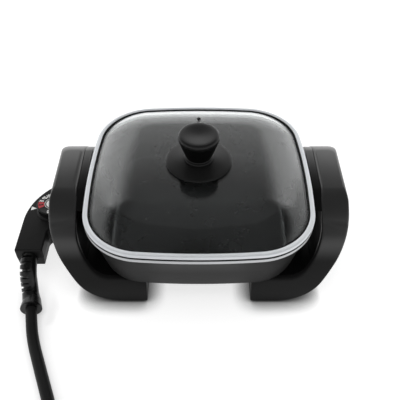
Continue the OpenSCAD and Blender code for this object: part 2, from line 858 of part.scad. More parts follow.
module control_top() {
    post_top = control_z1 - control_wall / 2;
    color(black) placed() difference() {
        union() {
            difference() {
                control_solid(0, split_z, control_z1);
                control_solid(control_wall, split_z - 1, control_z1 - control_wall);
            }
            for (p = posts) translate([p[0], p[1], split_z]) cylinder(d = post_d, h = post_top - split_z);
        }
        for (p = posts) translate([p[0], p[1], split_z - 1])
            cylinder(d = post_screw_d + fit, h = post_screw_in + 2);
        translate([dial_x, dial_y, split_z]) cylinder(d = shaft_d + 2 * slide, h = control_h);
        relief_hole();
    }
}

module control_bottom() {
    color(black) placed() difference() {
        union() {
            difference() {
                control_solid(0, control_z0, split_z);
                control_solid(control_wall, control_z0 + control_wall, split_z + 1);
            }
            for (p = posts) translate([p[0], p[1], control_z0]) cylinder(d = post_d, h = lower_h);
        }
        for (p = posts) translate([p[0], p[1], control_z0 - 1]) {
            cylinder(d = post_screw_d + 2 * fit, h = split_z);
            cylinder(d = post_head_d + 2 * fit, h = 1 + post_head_h + post_sunk);
        }
        nose_hole(fit);
        relief_hole();
    }
}

module control_nose() {
    flange_x1 = control_x1 - control_wall - fit;
    color(black) placed() difference() {
        union() {
            block(flange_x1 - flange_t, nose_x1, -nose_w / 2, nose_w / 2,
                  heat_z - nose_h / 2, heat_z + nose_h / 2);
            block(flange_x1 - flange_t, flange_x1, -flange_w / 2, flange_w / 2, heat_z - nose_h / 2,
                  heat_z - nose_h / 2 + flange_h);
        }
        pin_places() rod_x(sleeve_d + 2 * fit, sleeve_x0, nose_x1 + 1);
        translate([0, 0, heat_z]) rod_x(probe_d + 2 * fit, sleeve_x0, nose_x1 + 1);
    }
}

module control_screws() {
    color(steel) placed() for (p = posts) translate([p[0], p[1], 0])
        screw_up(post_screw_d, post_head_d, post_head_h, control_z0 + post_head_h + post_sunk,
                 split_z + post_screw_in);
}

module contact_sleeves() {
    color(brass) placed() pin_places() difference() {
        rod_x(sleeve_d, sleeve_x0, sleeve_x1);
        rod_x(sleeve_bore, pin_end_x - sleeve_deep, sleeve_x1 + 1);
    }
}

module sensor_probe() {
    color(steel) placed() translate([0, 0, heat_z]) {
        rod_x(probe_d, sleeve_x0 + 1, probe_tip_x - probe_d / 2);
        translate([probe_tip_x - probe_d / 2, 0, 0]) sphere(d = probe_d);
    }
}

module thermostat_frame() {
    color(steel) placed() translate([0, dial_y, 0]) difference() {
        union() {
            block(frame_x0, frame_x1, -frame_w / 2, frame_w / 2, frame_z0, frame_z0 + frame_t);
            block(frame_x0, frame_x0 + frame_t, -frame_w / 2, frame_w / 2, frame_z0, frame_top);
            block(frame_x0, frame_x1, -frame_w / 2, frame_w / 2, frame_top - frame_t, frame_top);
        }
        translate([dial_x, 0, frame_z0 + frame_t]) cylinder(d = shaft_d + 2 * slide, h = control_h);
    }
}

module blade(z) {
    x0 = frame_x0 + frame_t;
    placed() translate([0, dial_y, 0])
        block(x0, x0 + blade_l, -blade_w / 2, blade_w / 2, z, z + blade_t);
}
module bimetal_blade() {
    color(brass) blade(bimetal_z);
}
module contact_blade() {
    color(brass) blade(blade_z);
}

// Leads from the cord's tail to the two sleeves
tail_end = tail_y0 + tail_l;
wire_side = 3;
wire_out = 8;
wire_past = 11;
wire_turn_y = -35;
wire_under_x = 4;
wire_under_y = -21;
wire_by_x = 5;
wire_by_y = -14;
wire_low = 2;
wire_over = 6;
wire_wide = 13;
wire_a = [[arm_x - wire_side, tail_end, relief_z], [arm_x - wire_side, tail_end + wire_out, relief_z],
          [dial_x - wire_past, wire_turn_y, split_z - wire_side],
          [dial_x - wire_under_x, wire_under_y, heat_z + wire_low],
          [dial_x + wire_by_x, wire_by_y, heat_z + wire_low / 4],
          [sleeve_x0 - 2 * wire_low, -pin_pitch / 2, heat_z], [sleeve_x0 - wire_low, -pin_pitch / 2, heat_z],
          [sleeve_x0 - fit, -pin_pitch / 2, heat_z]];
wire_b = [[arm_x + wire_side, tail_end, relief_z], [arm_x + wire_side, tail_end + wire_out, relief_z + 1],
          [dial_x - wire_over, wire_turn_y, split_z + wire_over],
          [dial_x + wire_side, wire_under_y, split_z + wire_over + 1],
          [dial_x + wire_past, -wire_low, split_z + wire_over],
          [dial_x + wire_wide, wire_past - 1, split_z + wire_low],
          [dial_x + wire_wide - wire_over, wire_wide + 1, heat_z + 2 * wire_low],
          [sleeve_x0 - 2 * wire_low, pin_pitch / 2, heat_z], [sleeve_x0 - wire_low, pin_pitch / 2, heat_z],
          [sleeve_x0 - fit, pin_pitch / 2, heat_z]];
module lead_wires() {
    color([0.5, 0.15, 0.1]) placed() {
        tube(through(wire_a, 3), wire_d, 8);
        tube(through(wire_b, 3), wire_d, 8);
    }
}

module cord_tail() {
    color(black) placed() translate([arm_x, 0, relief_z]) rod_y(cord_d, tail_y0, tail_y0 + tail_l);
}

module cord_clamp() {
    color(black) placed() difference() {
        block(arm_x - clamp_w / 2, arm_x + clamp_w / 2, clamp_y0, clamp_y0 + clamp_l, relief_z,
              control_z1 - control_wall);
        translate([arm_x, 0, relief_z]) rod_y(cord_d + 2 * fit, clamp_y0 - 1, clamp_y0 + clamp_l + 1);
    }
}

// Dial with its shaft and cam
module dial() {
    r = dial_d / 2;
    color([0.2, 0.2, 0.21]) placed() translate([dial_x, dial_y, dial_z0]) difference() {
        rotate_extrude() polygon(concat(
            [[0, 0], [r + dial_lip, 0], [r + dial_lip, dial_lip_h], [r, dial_lip_h + 1]],
            arc(r - dial_round, dial_h - dial_round, dial_round, 0, 90, 6),
            [[0, dial_h]]
        ));
        translate([0, 0, -1]) cylinder(d = shaft_d + fit, h = dial_h - 1);
    }
}

module dial_shaft() {
    top = dial_z0 + dial_h - shaft_in;
    color(steel) placed() translate([dial_x, dial_y, cam_z + fit])
        cylinder(d = shaft_d, h = top - cam_z - fit);
}

module dial_cam() {
    color(white) placed() translate([dial_x, dial_y, cam_z]) difference() {
        translate([cam_off, 0, 0]) cylinder(d = cam_d, h = cam_h);
        translate([0, 0, -1]) cylinder(d = shaft_d + fit, h = cam_h + 2);
    }
}

// Strain relief: flange in the housing, two ribbed arcs and the bell mouth
relief_run = 2 * relief_bend * sin(relief_a);
heading = [sin(relief_yaw), -cos(relief_yaw), 0];
relief_start = [arm_x, arm_y, relief_z];
relief_end = relief_start + relief_run * heading - [0, 0, relief_drop];
relief_sides = 14;
function relief_ring(u, r) =
    let (a = relief_a * (u < 1 ? u : 2 - u), h = relief_bend * sin(a), drop = relief_bend * (1 - cos(a)),
         p = u < 1 ? relief_start + h * heading - [0, 0, drop] : relief_end - h * heading + [0, 0, drop])
        ring(p, cos(a) * heading - [0, 0, sin(a)], r, relief_sides);
function flange_ring(y, r) = ring([arm_x, y, relief_z], [0, -1, 0], r, relief_sides);
function bell_ring(s, r) = ring(relief_end + s * heading, heading, r, relief_sides);
module strain_relief() {
    core = relief_core_d / 2;
    seat = arm_y + control_wall + fit;
    pitch = 2 / relief_ribs;
    color(black) placed() loft(concat(
        [flange_ring(tail_y0, core + 2), flange_ring(seat, core + 2), flange_ring(seat, core),
         flange_ring(arm_y, core)],
        [for (i = [0 : relief_ribs - 1])
            each [relief_ring((i + 0.35) * pitch, core), relief_ring((i + 0.35) * pitch, relief_d / 2),
                  relief_ring((i + 0.85) * pitch, relief_d / 2), relief_ring((i + 0.85) * pitch, core)]],
        [bell_ring(0, core), bell_ring(0, bell_d / 2 - 1.5), bell_ring(bell_l / 2, bell_d / 2),
         bell_ring(bell_l, bell_d / 2), bell_ring(bell_l, bell_d / 2 - bell_wall),
         bell_ring(bell_floor, bell_d / 2 - bell_wall)]
    ));
}

// Cord
bell_face = relief_end + bell_floor * heading;
module power_cord() {
    color(black) placed() tube(concat([bell_face, bell_face + 5 * heading, bell_face + 10 * heading],
                                      through(route, 2)), cord_d, 10);
}

// Coil: in along the lower layer, up, and out along the upper layer, then down to the plug
coil_z = cord_d / 2 + coil_lift;
coil_back = coil_turns / 2;
function coil_r(t) = coil_out - coil_step * (t < coil_back ? t : coil_turns - t);
function climb(t) = let (s = min(1, max(0, (t - coil_back + 0.25) / 0.5))) s * s * (3 - 2 * s);
function coil_point(t) = [coil_x + coil_r(t) * cos(180 + 360 * t), coil_y + coil_r(t) * sin(180 + 360 * t),
                          coil_z + coil_step * climb(t)];
coil_in = [route[len(route) - 1], [coil_x - coil_out, coil_y + 8, coil_z]];
coil_end = coil_point(coil_turns);
exit_start = 12;
exit_run = 70;
exit_drop = coil_end[2] - plug_z;
coil_exit = [
    for (i = [1 : 8])
        let (s = i / 8)
            coil_end + [exit_start + exit_run * s, 0, -exit_drop * s * s * (3 - 2 * s)]
];
plug_x = coil_end[0] + exit_start + exit_run + cord_d;
coil_path = concat(coil_in,
                   [for (i = [0 : coil_rings * coil_turns]) coil_point(i / coil_rings)],
                   coil_exit, [[plug_x, coil_end[1], plug_z]]);
module power_cord_coil() {
    color(black) placed() tube(coil_path, cord_d, 6);
}

// Least gap of the coil to itself, measured between its own points more than half a turn apart
coil_gap = min([
    for (i = [0 : len(coil_path) - 1], j = [i + coil_rings / 2 : len(coil_path) - 1])
        norm(coil_path[i] - coil_path[j])
]) - cord_d;
echo(coil_gap = coil_gap);

// Tie round two turns, half way between two points of each
module cord_tie() {
    turns = [for (i = [tie_ring, tie_ring + 1], k = [0, 1]) coil_point(i / coil_rings + k)];
    middle = (turns[0] + turns[1] + turns[2] + turns[3]) / 4;
    w = cord_d / 2 + tie_gap;
    color([0.1, 0.1, 0.1]) placed() translate([middle[0], middle[1], coil_z])
        rotate(atan2(middle[1] - coil_y, middle[0] - coil_x)) rotate([90, 0, 0])
            linear_extrude(tie_w, center = true) difference() {
                tie_loop(w + tie_t);
                tie_loop(w);
            }
}
module tie_loop(r) {
    polygon(concat(arc(0, coil_step, r, 0, 180, 16), arc(0, 0, r, 180, 360, 16)));
}

module plug_place() {
    translate([plug_x, coil_end[1], plug_z]) children();
}
module mains_plug() {
    body_x = plug_neck_l;
    color(black) placed() plug_place() difference() {
        union() {
            rotate([0, 90, 0]) cylinder(d1 = cord_d + 2, d2 = plug_h - 1, h = plug_neck_l);
            translate([body_x, 0, 0]) rotate([90, 0, 90]) linear_extrude(plug_l) polygon(concat(
                arc((plug_w - plug_h) / 2, 0, plug_h / 2, -90, 90, 12),
                arc((plug_h - plug_w) / 2, 0, plug_h / 2, 90, 270, 12)));
        }
        plug_pin_places() rod_x(plug_pin_d + fit, -plug_pin_in, 1);
    }
}
module plug_pin_places() {
    for (p = [[-plug_pin_pitch / 2, 0], [plug_pin_pitch / 2, 0], [0, plug_earth]])
        translate([plug_neck_l + plug_l, p[0], p[1]]) children();
}
module plug_pins() {
    color(brass) placed() plug_place() plug_pin_places() rod_x(plug_pin_d, -plug_pin_in, plug_pin_l);
}

pan();
heating_element();
terminal_pins();
pin_insulators();
terminal_guard();
guard_screws();
left_wing();
right_wing();
left_wing_liner();
right_wing_liner();
leg_screws();
heat_spacers();
rubber_feet();
lid_glass();
lid_rim();
lid_seal();
steam_vent();
knob();
knob_skirt();
knob_screw();
knob_washer();
knob_gasket();
control_top();
control_bottom();
control_nose();
control_screws();
contact_sleeves();
sensor_probe();
thermostat_frame();
bimetal_blade();
contact_blade();
lead_wires();
cord_tail();
cord_clamp();
dial();
dial_shaft();
dial_cam();
strain_relief();
power_cord();
power_cord_coil();
cord_tie();
mains_plug();
plug_pins();
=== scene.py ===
import json
from math import acos, asin, atan2, copysign, cos, degrees, dist, pi, radians, sin, sqrt, tan, tau

import bmesh
import bpy
from mathutils import Matrix, Vector

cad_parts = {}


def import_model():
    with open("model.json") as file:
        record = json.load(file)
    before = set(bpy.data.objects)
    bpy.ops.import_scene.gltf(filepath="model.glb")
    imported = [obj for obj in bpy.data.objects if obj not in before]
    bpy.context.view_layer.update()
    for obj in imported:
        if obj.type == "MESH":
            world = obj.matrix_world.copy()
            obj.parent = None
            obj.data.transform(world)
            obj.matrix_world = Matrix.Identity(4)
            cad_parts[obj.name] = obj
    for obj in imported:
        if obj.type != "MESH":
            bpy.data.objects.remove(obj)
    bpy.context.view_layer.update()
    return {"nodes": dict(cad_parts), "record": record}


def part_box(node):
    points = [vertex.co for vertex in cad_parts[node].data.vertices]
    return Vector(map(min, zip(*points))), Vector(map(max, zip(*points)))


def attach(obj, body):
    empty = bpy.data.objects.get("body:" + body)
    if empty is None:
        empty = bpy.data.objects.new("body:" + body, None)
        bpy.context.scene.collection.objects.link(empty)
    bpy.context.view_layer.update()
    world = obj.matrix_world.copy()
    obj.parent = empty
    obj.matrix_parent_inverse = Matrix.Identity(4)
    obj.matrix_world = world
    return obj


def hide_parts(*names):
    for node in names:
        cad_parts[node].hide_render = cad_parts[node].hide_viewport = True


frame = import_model()
scene = bpy.context.scene
bodyOf = {n: body for body, names in frame["record"]["behaviour"]["bodies"].items() for n in names}
panLow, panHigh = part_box("pan")
panX = (panLow.x + panHigh.x) / 2  # the pan's middle, which the lid and the wings share
wingLow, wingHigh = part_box("right_wing")
up = Vector((0, 0, 1))
hair = 0.0001  # gap or overlap of faces that would otherwise coincide
weld = 1e-6  # points closer than this become one
softBelow = 35  # degrees between faces that still look like one surface
print("frame loaded, pan middle at", round(panX, 4))


# Small mesh tools

def newObject(name, data):
    made = bpy.data.objects.new(name, data)
    scene.collection.objects.link(made)
    return made


def newPiece(name, node, data, replaced=True):
    # a piece with the body of a node, which it replaces unless it only adds to it
    piece = newObject(name, data)
    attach(piece, bodyOf[node])
    if replaced:
        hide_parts(node)
    return piece


def reworked(mesh, change):
    work = bmesh.new()
    work.from_mesh(mesh)
    change(work)
    work.to_mesh(mesh)
    work.free()
    return mesh


def weldPoints(work):
    bmesh.ops.remove_doubles(work, verts=work.verts, dist=weld)


def shade(work, sharpAngle=softBelow):
    for face in work.faces:
        face.smooth = True
    for edge in work.edges:
        if len(edge.link_faces) == 2:
            edge.smooth = edge.calc_face_angle(0) < radians(sharpAngle)


def tidyMesh(mesh, sharpAngle=softBelow):
    def change(work):
        weldPoints(work)
        bmesh.ops.recalc_face_normals(work, faces=work.faces)
        shade(work, sharpAngle)

    return reworked(mesh, change)


def loftMesh(name, rings, *skins, joined=False, ringSlots=None):
    # a skin over rings of points, joined end to end or closed by a cap at each end
    count, total = len(rings[0]), len(rings)
    faces = []
    for i in range(total if joined else total - 1):
        a, b = i * count, (i + 1) % total * count
        for k in range(count):
            n = (k + 1) % count
            faces.append((a + k, a + n, b + n, b + k))
    if not joined:
        faces += [tuple(reversed(range(count))), tuple(range((total - 1) * count, total * count))]
    mesh = bpy.data.meshes.new(name)
    mesh.from_pydata([tuple(p) for ring in rings for p in ring], [], faces)
    for skin in skins:
        mesh.materials.append(finishes[skin])
    if ringSlots:
        slots = [s for s in ringSlots for _ in range(count)] + [ringSlots[0], ringSlots[-1]]
        mesh.polygons.foreach_set("material_index", slots)
    return tidyMesh(mesh)


def loftPiece(name, node, rings, *skins, replaced=True, **how):
    return newPiece(name, node, loftMesh(name, rings, *skins, **how), replaced)


def latheRings(profile, centre=(0, 0, 0), steps=96):
    angles = [tau * k / steps for k in range(steps)]
    return [[(centre[0] + r * cos(a), centre[1] + r * sin(a), centre[2] + z) for a in angles]
            for r, z in profile]


def arcPoints(x, y, r, start, end, steps):
    angles = [radians(start + (end - start) * i / steps) for i in range(steps + 1)]
    return [(x + r * cos(a), y + r * sin(a)) for a in angles]


def mix(a, b, t):
    return tuple(p + (q - p) * t for p, q in zip(a, b))


def smoothStep(s):
    s = min(1, max(0, s))
    return s * s * (3 - 2 * s)


def smoothThrough(points, steps):
    pts = [Vector(p) for p in points]
    out = []
    for i in range(len(pts) - 1):
        a, b = pts[max(i - 1, 0)], pts[i]
        c, d = pts[i + 1], pts[min(i + 2, len(pts) - 1)]
        for j in range(steps):
            t = j / steps
            out.append(0.5 * (2 * b + (c - a) * t + (2 * a - 5 * b + 4 * c - d) * t * t
                              + (3 * b - a - 3 * c + d) * t ** 3))
    return out + [pts[-1]]


def pathLength(points):
    return sum((Vector(b) - Vector(a)).length for a, b in zip(points, points[1:]))


# Camera, as far from the pan and as steep as in the photograph

view = {"back": -0.5178, "height": 0.58564, "aside": 0.00138, "tilt": 45.08, "lens": 49.48, "sensor": 36}


def makeCamera():
    data = bpy.data.cameras.new("camera")
    data.lens = view["lens"]
    data.sensor_width = view["sensor"]
    data.clip_start = 0.01
    camera = newObject("camera", data)
    camera.location = (panX + view["aside"], view["back"], view["height"])
    camera.rotation_euler = (radians(view["tilt"]), 0, 0)
    scene.camera = camera


makeCamera()
print("camera set")


# Shader tools

def addNode(tree, kind, inputs=None, **settings):
    node = tree.nodes.new(kind)
    for key, value in settings.items():
        setattr(node, key, value)
    for key, value in (inputs or {}).items():
        socket = node.inputs[key]
        if isinstance(value, bpy.types.NodeSocket):
            tree.links.new(value, socket)
        else:
            socket.default_value = value
    return node


def outOf(tree, kind, inputs=None, **settings):
    return addNode(tree, kind, inputs, **settings).outputs[0]


def calc(tree, operation, *values):
    return outOf(tree, "ShaderNodeMath", dict(enumerate(values)), operation=operation)


def ramp(tree, value, start, end, low=0.0, high=1.0, kind="SMOOTHSTEP"):
    inputs = {"Value": value, "From Min": start, "From Max": end, "To Min": low, "To Max": high}
    return outOf(tree, "ShaderNodeMapRange", inputs, interpolation_type=kind)


def noise(tree, vector, scale, detail, roughness=0.5):
    inputs = {"Vector": vector, "Scale": scale, "Detail": detail, "Roughness": roughness}
    return outOf(tree, "ShaderNodeTexNoise", inputs)


def coordsOf(tree, space):
    return addNode(tree, "ShaderNodeTexCoord").outputs[space]


def placeIn(tree, space):
    return addNode(tree, "ShaderNodeSeparateXYZ", {"Vector": coordsOf(tree, space)}).outputs


def setSockets(node, values):
    for key, value in values.items():
        node.inputs[key].default_value = value


def grey(level, warm=0.0):
    return (level * (1 + warm), level, level * (1 - warm), 1)


def groupTree(name, inputs, outputs, sort="Shader"):
    tree = bpy.data.node_groups.new(name, sort + "NodeTree")
    for label, kind, value in inputs:
        socket = tree.interface.new_socket(label, in_out="INPUT", socket_type="NodeSocket" + kind)
        if value is not None:
            socket.default_value = value
    for label, kind in outputs:
        tree.interface.new_socket(label, in_out="OUTPUT", socket_type="NodeSocket" + kind)
    return tree, tree.nodes.new("NodeGroupInput").outputs, tree.nodes.new("NodeGroupOutput").inputs


def skinGroup(name, scales, roughness, spread, dark, pale, noises):
    # colour and height follow the first noise, gloss follows the last one
    inputs = [("Vector", "Vector", None)] + [(label, "Float", scale) for label, scale in scales.items()]
    inputs += [("Roughness", "Float", roughness), ("Spread", "Float", spread), ("Dark", "Color", grey(dark)),
               ("Pale", "Color", grey(pale))]
    tree, given, result = groupTree(name, inputs, [("Color", "Color"), ("Roughness", "Float"), ("Height", "Float")])
    made = [noise(tree, given["Vector"], given[scale] if scale in scales else 1.0, detail, rough)
            for scale, detail, rough in noises]
    swing = calc(tree, "SUBTRACT", made[-1], 0.5)
    gloss = calc(tree, "MULTIPLY_ADD", swing, given["Spread"], given["Roughness"])
    tones = {"Factor": made[0], "A": given["Dark"], "B": given["Pale"]}
    mixed = addNode(tree, "ShaderNodeMix", tones, data_type="RGBA")
    colour = next(s for s in mixed.outputs if s.type == "RGBA" and s.enabled)
    for label, socket in (("Color", colour), ("Roughness", gloss), ("Height", made[0])):
        tree.links.new(socket, result[label])
    return tree


def polishGroup():
    # a mask that rises along one measure, for parts that hands have smoothed
    inputs = [("Place", "Float", 0.0), ("From", "Float", 0.0), ("To", "Float", 1.0)]
    tree, given, result = groupTree("handPolish", inputs, [("Weight", "Float")])
    tree.links.new(ramp(tree, given["Place"], given["From"], given["To"]), result["Weight"])
    return tree


# fine grain of moulded or cast skins, with a slow change of gloss over the surface
moulded = skinGroup("mouldedSkin", {"Grain": 900.0, "Cloud": 22.0}, 0.4, 0.06, 0.01, 0.02,
                    [("Grain", 3.0, 0.55), ("Cloud", 4.0, 0.6)])
# long scratches along one direction, for drawn and turned metal
brushed = skinGroup("brushedMetal", {}, 0.3, 0.15, 0.5, 0.7, [("", 5.0, 0.7)])
polish = polishGroup()
coat = {"Coat Roughness": 0.3, "Coat IOR": 1.6}
pane = {"Base Color": (0.9, 0.93, 0.93, 1), "Transmission Weight": 1.0, "IOR": 1.5}
smear = {"scale": 30.0, "detail": 4.0, "rough": 0.008}
skinSpread = 0.15  # how far the grain's two tones lie from the middle one
grainDeep, scratchDeep = 0.0002, 0.0001
wingPolish = (wingHigh.z - 0.064, wingHigh.z - 0.044)  # heights between which the shine sets in
ledgePolish = (-0.03, 0.05)  # the same from front to back


def newMaterial(name):
    material = bpy.data.materials.new(name)
    material.use_nodes = True
    tree = material.node_tree
    return material, tree, tree.nodes["Principled BSDF"]


def finishMaterial(name, group, values, bump, distance, stretch=None, **sockets):
    material, tree, shader = newMaterial(name)
    vector = coordsOf(tree, "Object")
    if stretch:
        vector = outOf(tree, "ShaderNodeMapping", {"Vector": vector, "Scale": stretch})
    finish = addNode(tree, "ShaderNodeGroup", node_tree=group)
    tree.links.new(vector, finish.inputs["Vector"])
    setSockets(finish, values)
    made = finish.outputs
    normal = outOf(tree, "ShaderNodeBump", {"Strength": bump, "Distance": distance, "Height": made["Height"]})
    for label, socket in (("Base Color", made["Color"]), ("Roughness", made["Roughness"]), ("Normal", normal)):
        tree.links.new(socket, shader.inputs[label])
    setSockets(shader, sockets)
    return material


def plastic(name, level, roughness, grain=900.0, bump=0.15, spread=0.08, shine=0.3):
    tones = {"Dark": grey(level * (1 - skinSpread)), "Pale": grey(level * (1 + skinSpread))}
    return finishMaterial(name, moulded, {"Grain": grain, "Roughness": roughness, "Spread": spread, **tones},
                          bump, grainDeep, **{"Specular IOR Level": shine})


def metal(name, dark, pale, roughness, stretch, spread=0.15, warm=0.0, bump=0.08, metallic=1.0):
    tones = {"Dark": grey(dark, warm), "Pale": grey(pale, warm)}
    return finishMaterial(name, brushed, {"Roughness": roughness, "Spread": spread, **tones}, bump, scratchDeep,
                          stretch, Metallic=metallic)


def paint(name, dark, pale, grain=700.0, bump=0.05):
    tones = {"Dark": dark, "Pale": pale}
    return finishMaterial(name, moulded, {"Grain": grain, "Roughness": 0.5, **tones}, bump, scratchDeep)


def polished(material, axis, start, end):
    # smoother towards one end, where hands hold it
    tree = material.node_tree
    shader = tree.nodes["Principled BSDF"]
    held = addNode(tree, "ShaderNodeGroup", node_tree=polish)
    tree.links.new(placeIn(tree, "Object")[axis], held.inputs["Place"])
    setSockets(held, {"From": start, "To": end})
    tree.links.new(held.outputs["Weight"], shader.inputs["Coat Weight"])
    setSockets(shader, coat)
    return material


def glassMaterial():
    material, tree, shader = newMaterial("temperedGlass")
    setSockets(shader, pane)
    film = noise(tree, coordsOf(tree, "Object"), smear["scale"], smear["detail"])
    tree.links.new(calc(tree, "MULTIPLY", film, smear["rough"]), shader.inputs["Roughness"])
    return material


finishes = {
    "wing": polished(plastic("wingPlastic", 0.011, 0.40, shine=0.12), "Z", *wingPolish),
    # ledge and liner are the wings' plastic made darker: painted shade of the recess between wing and pan
    "ledge": polished(plastic("ledgePlastic", 0.003, 0.4, shine=0.1), "Y", *ledgePolish),
    "liner": plastic("linerPlastic", 0.003, 0.45, shine=0.15),
    "control": plastic("controlPlastic", 0.010, 0.40, 1100.0, 0.2, shine=0.12),
    "knob": plastic("knobPhenolic", 0.007, 0.26, 1400.0, 0.05, 0.05, 0.25),
    # the knob's cone takes a darker copy of the knob's plastic: painted shade for the shade on its downward-facing
    # sides
    "neck": plastic("knobNeck", 0.0025, 0.45, 1400.0, 0.05, 0.05, 0.1),
    "hidden": plastic("innerPlastic", 0.02, 0.5),
    "dial": plastic("dialPlastic", 0.008, 0.35, 1400.0, 0.05, shine=0.2),
    "cam": plastic("naturalPlastic", 0.6, 0.45),
    "cord": plastic("cordRubber", 0.008, 0.5, 1300.0, 0.25, shine=0.2),
    "relief": plastic("reliefRubber", 0.003, 0.28, 1200.0, 0.08, shine=0.35),
    "seal": plastic("sealRubber", 0.006, 0.5, 800.0, 0.1, shine=0.15),
    "foot": plastic("footRubber", 0.02, 0.65, 700.0, 0.3),
    "ceramic": plastic("whiteCeramic", 0.72, 0.5, 500.0, 0.1),
    "wire": paint("wireCover", (0.3, 0.06, 0.04, 1), (0.4, 0.09, 0.06, 1), 900.0, 0.1),
    "panOut": plastic("panPaint", 0.012, 0.4, 1500.0, 0.08, 0.05, 0.08),
    "panIn": plastic("nonStick", 0.006, 0.27, 1000.0, 0.08, 0.05, 0.5),
    "panRim": metal("bareRim", 0.56, 0.64, 0.45, (60, 60, 900), 0.06, -0.02, 0.03, 0.55),
    "band": metal("bandSteel", 0.72, 0.80, 0.45, (40, 40, 1600), 0.06, -0.03, 0.03, 0.55),
    "plated": metal("platedSteel", 0.5, 0.68, 0.3, (300, 300, 300)),
    "sheath": metal("elementSheath", 0.16, 0.26, 0.5, (120, 120, 120), 0.2, 0.05),
    "brass": metal("contactBrass", 0.45, 0.62, 0.3, (250, 250, 250), 0.15, 0.35),
    "glass": glassMaterial(),
    "white": paint("whitePrint", (0.782, 0.782, 0.765, 1), (0.92, 0.92, 0.9, 1)),
    "red": paint("redPrint", (0.3825, 0.0255, 0.034, 1), (0.45, 0.03, 0.04, 1)),
}
print("finishes made:", len(finishes))


# Geometry Nodes tools

def newTree(name, label, kind):
    inputs = [("Geometry", "Geometry", None), (label, kind, None), ("Material", "Material", None)]
    return groupTree(name, inputs, [("Geometry", "Geometry")], "Geometry")


def endTree(tree, geometry, material, result):
    # one plain mesh with its material
    real = outOf(tree, "GeometryNodeRealizeInstances", {"Geometry": geometry})
    dressed = outOf(tree, "GeometryNodeSetMaterial", {"Geometry": real, "Material": material})
    tree.links.new(dressed, result["Geometry"])
    return tree


def levelLine(tree, mesh):
    line = outOf(tree, "GeometryNodeMeshToCurve", {"Mesh": mesh})
    return outOf(tree, "GeometryNodeSetCurveNormal", {"Curve": line}, mode="Z_UP")


def evaluated(name, carrier):
    graph = bpy.context.evaluated_depsgraph_get()
    made = bpy.data.meshes.new_from_object(carrier.evaluated_get(graph))
    bpy.data.objects.remove(carrier)
    made.name = name
    return made


def runTree(name, mesh, tree, values):
    carrier = newObject(name, mesh)
    modifier = carrier.modifiers.new(tree.name, "NODES")
    modifier.node_group = tree
    for item in tree.interface.items_tree:
        if item.in_out == "INPUT" and item.name in values:
            modifier[item.identifier] = values[item.name]
    return evaluated(name, carrier)


def shapedMesh(name, mesh, tree, shape, finish):
    # runs a tree that takes a shape from another mesh
    holder = newObject(shape.name, shape)
    made = runTree(name, mesh, tree, {"Shape": holder, "Material": finishes[finish]})
    bpy.data.objects.remove(holder)
    return made


def pointMesh(name, points, joined=None):
    mesh = bpy.data.meshes.new(name)
    edges = []
    if joined is not None:
        edges = [(i, i + 1) for i in range(len(points) - 1)] + ([(len(points) - 1, 0)] if joined else [])
    mesh.from_pydata([tuple(p) for p in points], edges, [])
    return mesh


# Strain relief and cord, along the route of the solid cord

relief = {
    "start": (-0.214, -0.076, 0.043), "yaw": 8, "bend": 0.0276, "lateTurn": 3.0, "core": 0.0168, "over": 0.0206,
    "slots": 7, "slotDeep": 0.0027, "slotSide": (-0.6, 0.0, 0.8), "slotWindow": (0.25, 0.5), "slotAt": 0.6,
    "slotHalf": 0.17, "slotSoft": 0.06, "slotFirst": 0.06, "slotLast": 0.79, "coneFrom": 0.82, "coneRise": 0.006,
    "bell": 0.027, "bellLength": 0.011, "bellWall": 0.0016, "bellFloor": 0.002, "ground": 0.001, "sides": 48,
}
cord = {
    "diameter": 0.014, "straight": 0.005, "perPoint": 4, "perTurn": 40,
    "route": [(-0.203, -0.148, 0.0126), (-0.199, -0.1653, 0.009), (-0.193, -0.1825, 0.0072), (-0.186, -0.1987, 0.007),
              (-0.178, -0.217, 0.007), (-0.170, -0.235, 0.007), (-0.1627, -0.2522, 0.007), (-0.1575, -0.2705, 0.007),
              (-0.154, -0.290, 0.0076), (-0.1523, -0.310, 0.0082), (-0.152, -0.330, 0.0083)],
    "coilMiddle": (-0.075, -0.346), "coilOut": 0.077, "coilLift": 0.0013, "coilLead": 0.008, "spacing": 0.0006,
    "turns": 2.25, "climb": 0.5, "exitStart": 0.012, "exitRun": 0.070, "exitSteps": 12,
}
plug = {"neck": 0.018, "length": 0.040, "wide": 0.036, "high": 0.018, "grooves": 5,
        "groove": ((0, 0), (0.0006, 0.002), (0.0014, 0.002), (0.0020, 0))}


def fromPan(point):
    return Vector((point[0] + panX, point[1], point[2]))


def reliefFrame():
    drop = relief["start"][2] - relief["bell"] / 2 - relief["ground"]
    turn = acos(1 - drop / (2 * relief["bend"]))
    yaw = radians(relief["yaw"])
    heading = Vector((sin(yaw), -cos(yaw), 0))
    start = fromPan(relief["start"])
    end = start + 2 * relief["bend"] * sin(turn) * heading - drop * up
    return start, end, heading, turn


def reliefPath(steps=200):
    start, end, heading, turn = reliefFrame()
    points = []
    for i in range(steps + 1):
        u = 2 * i / steps
        a = turn * (u if u < 1 else 2 - u)
        along, fall = relief["bend"] * sin(a), relief["bend"] * (1 - cos(a))
        p = start + along * heading - fall * up if u < 1 else end - along * heading + fall * up
        late = u / 2 - (u / 2) ** relief["lateTurn"]
        points.append(p - Vector((late * (end.x - start.x), 0, 0)))
    return points


def coilPoint(t):
    step = cord["diameter"] + cord["spacing"]
    back = cord["turns"] / 2
    r = cord["coilOut"] - step * (t if t < back else cord["turns"] - t)
    a = pi + tau * t
    z = cord["diameter"] / 2 + cord["coilLift"] + step * smoothStep((t - back) / cord["climb"] + 0.5)
    return (cord["coilMiddle"][0] + r * cos(a), cord["coilMiddle"][1] + r * sin(a), z)


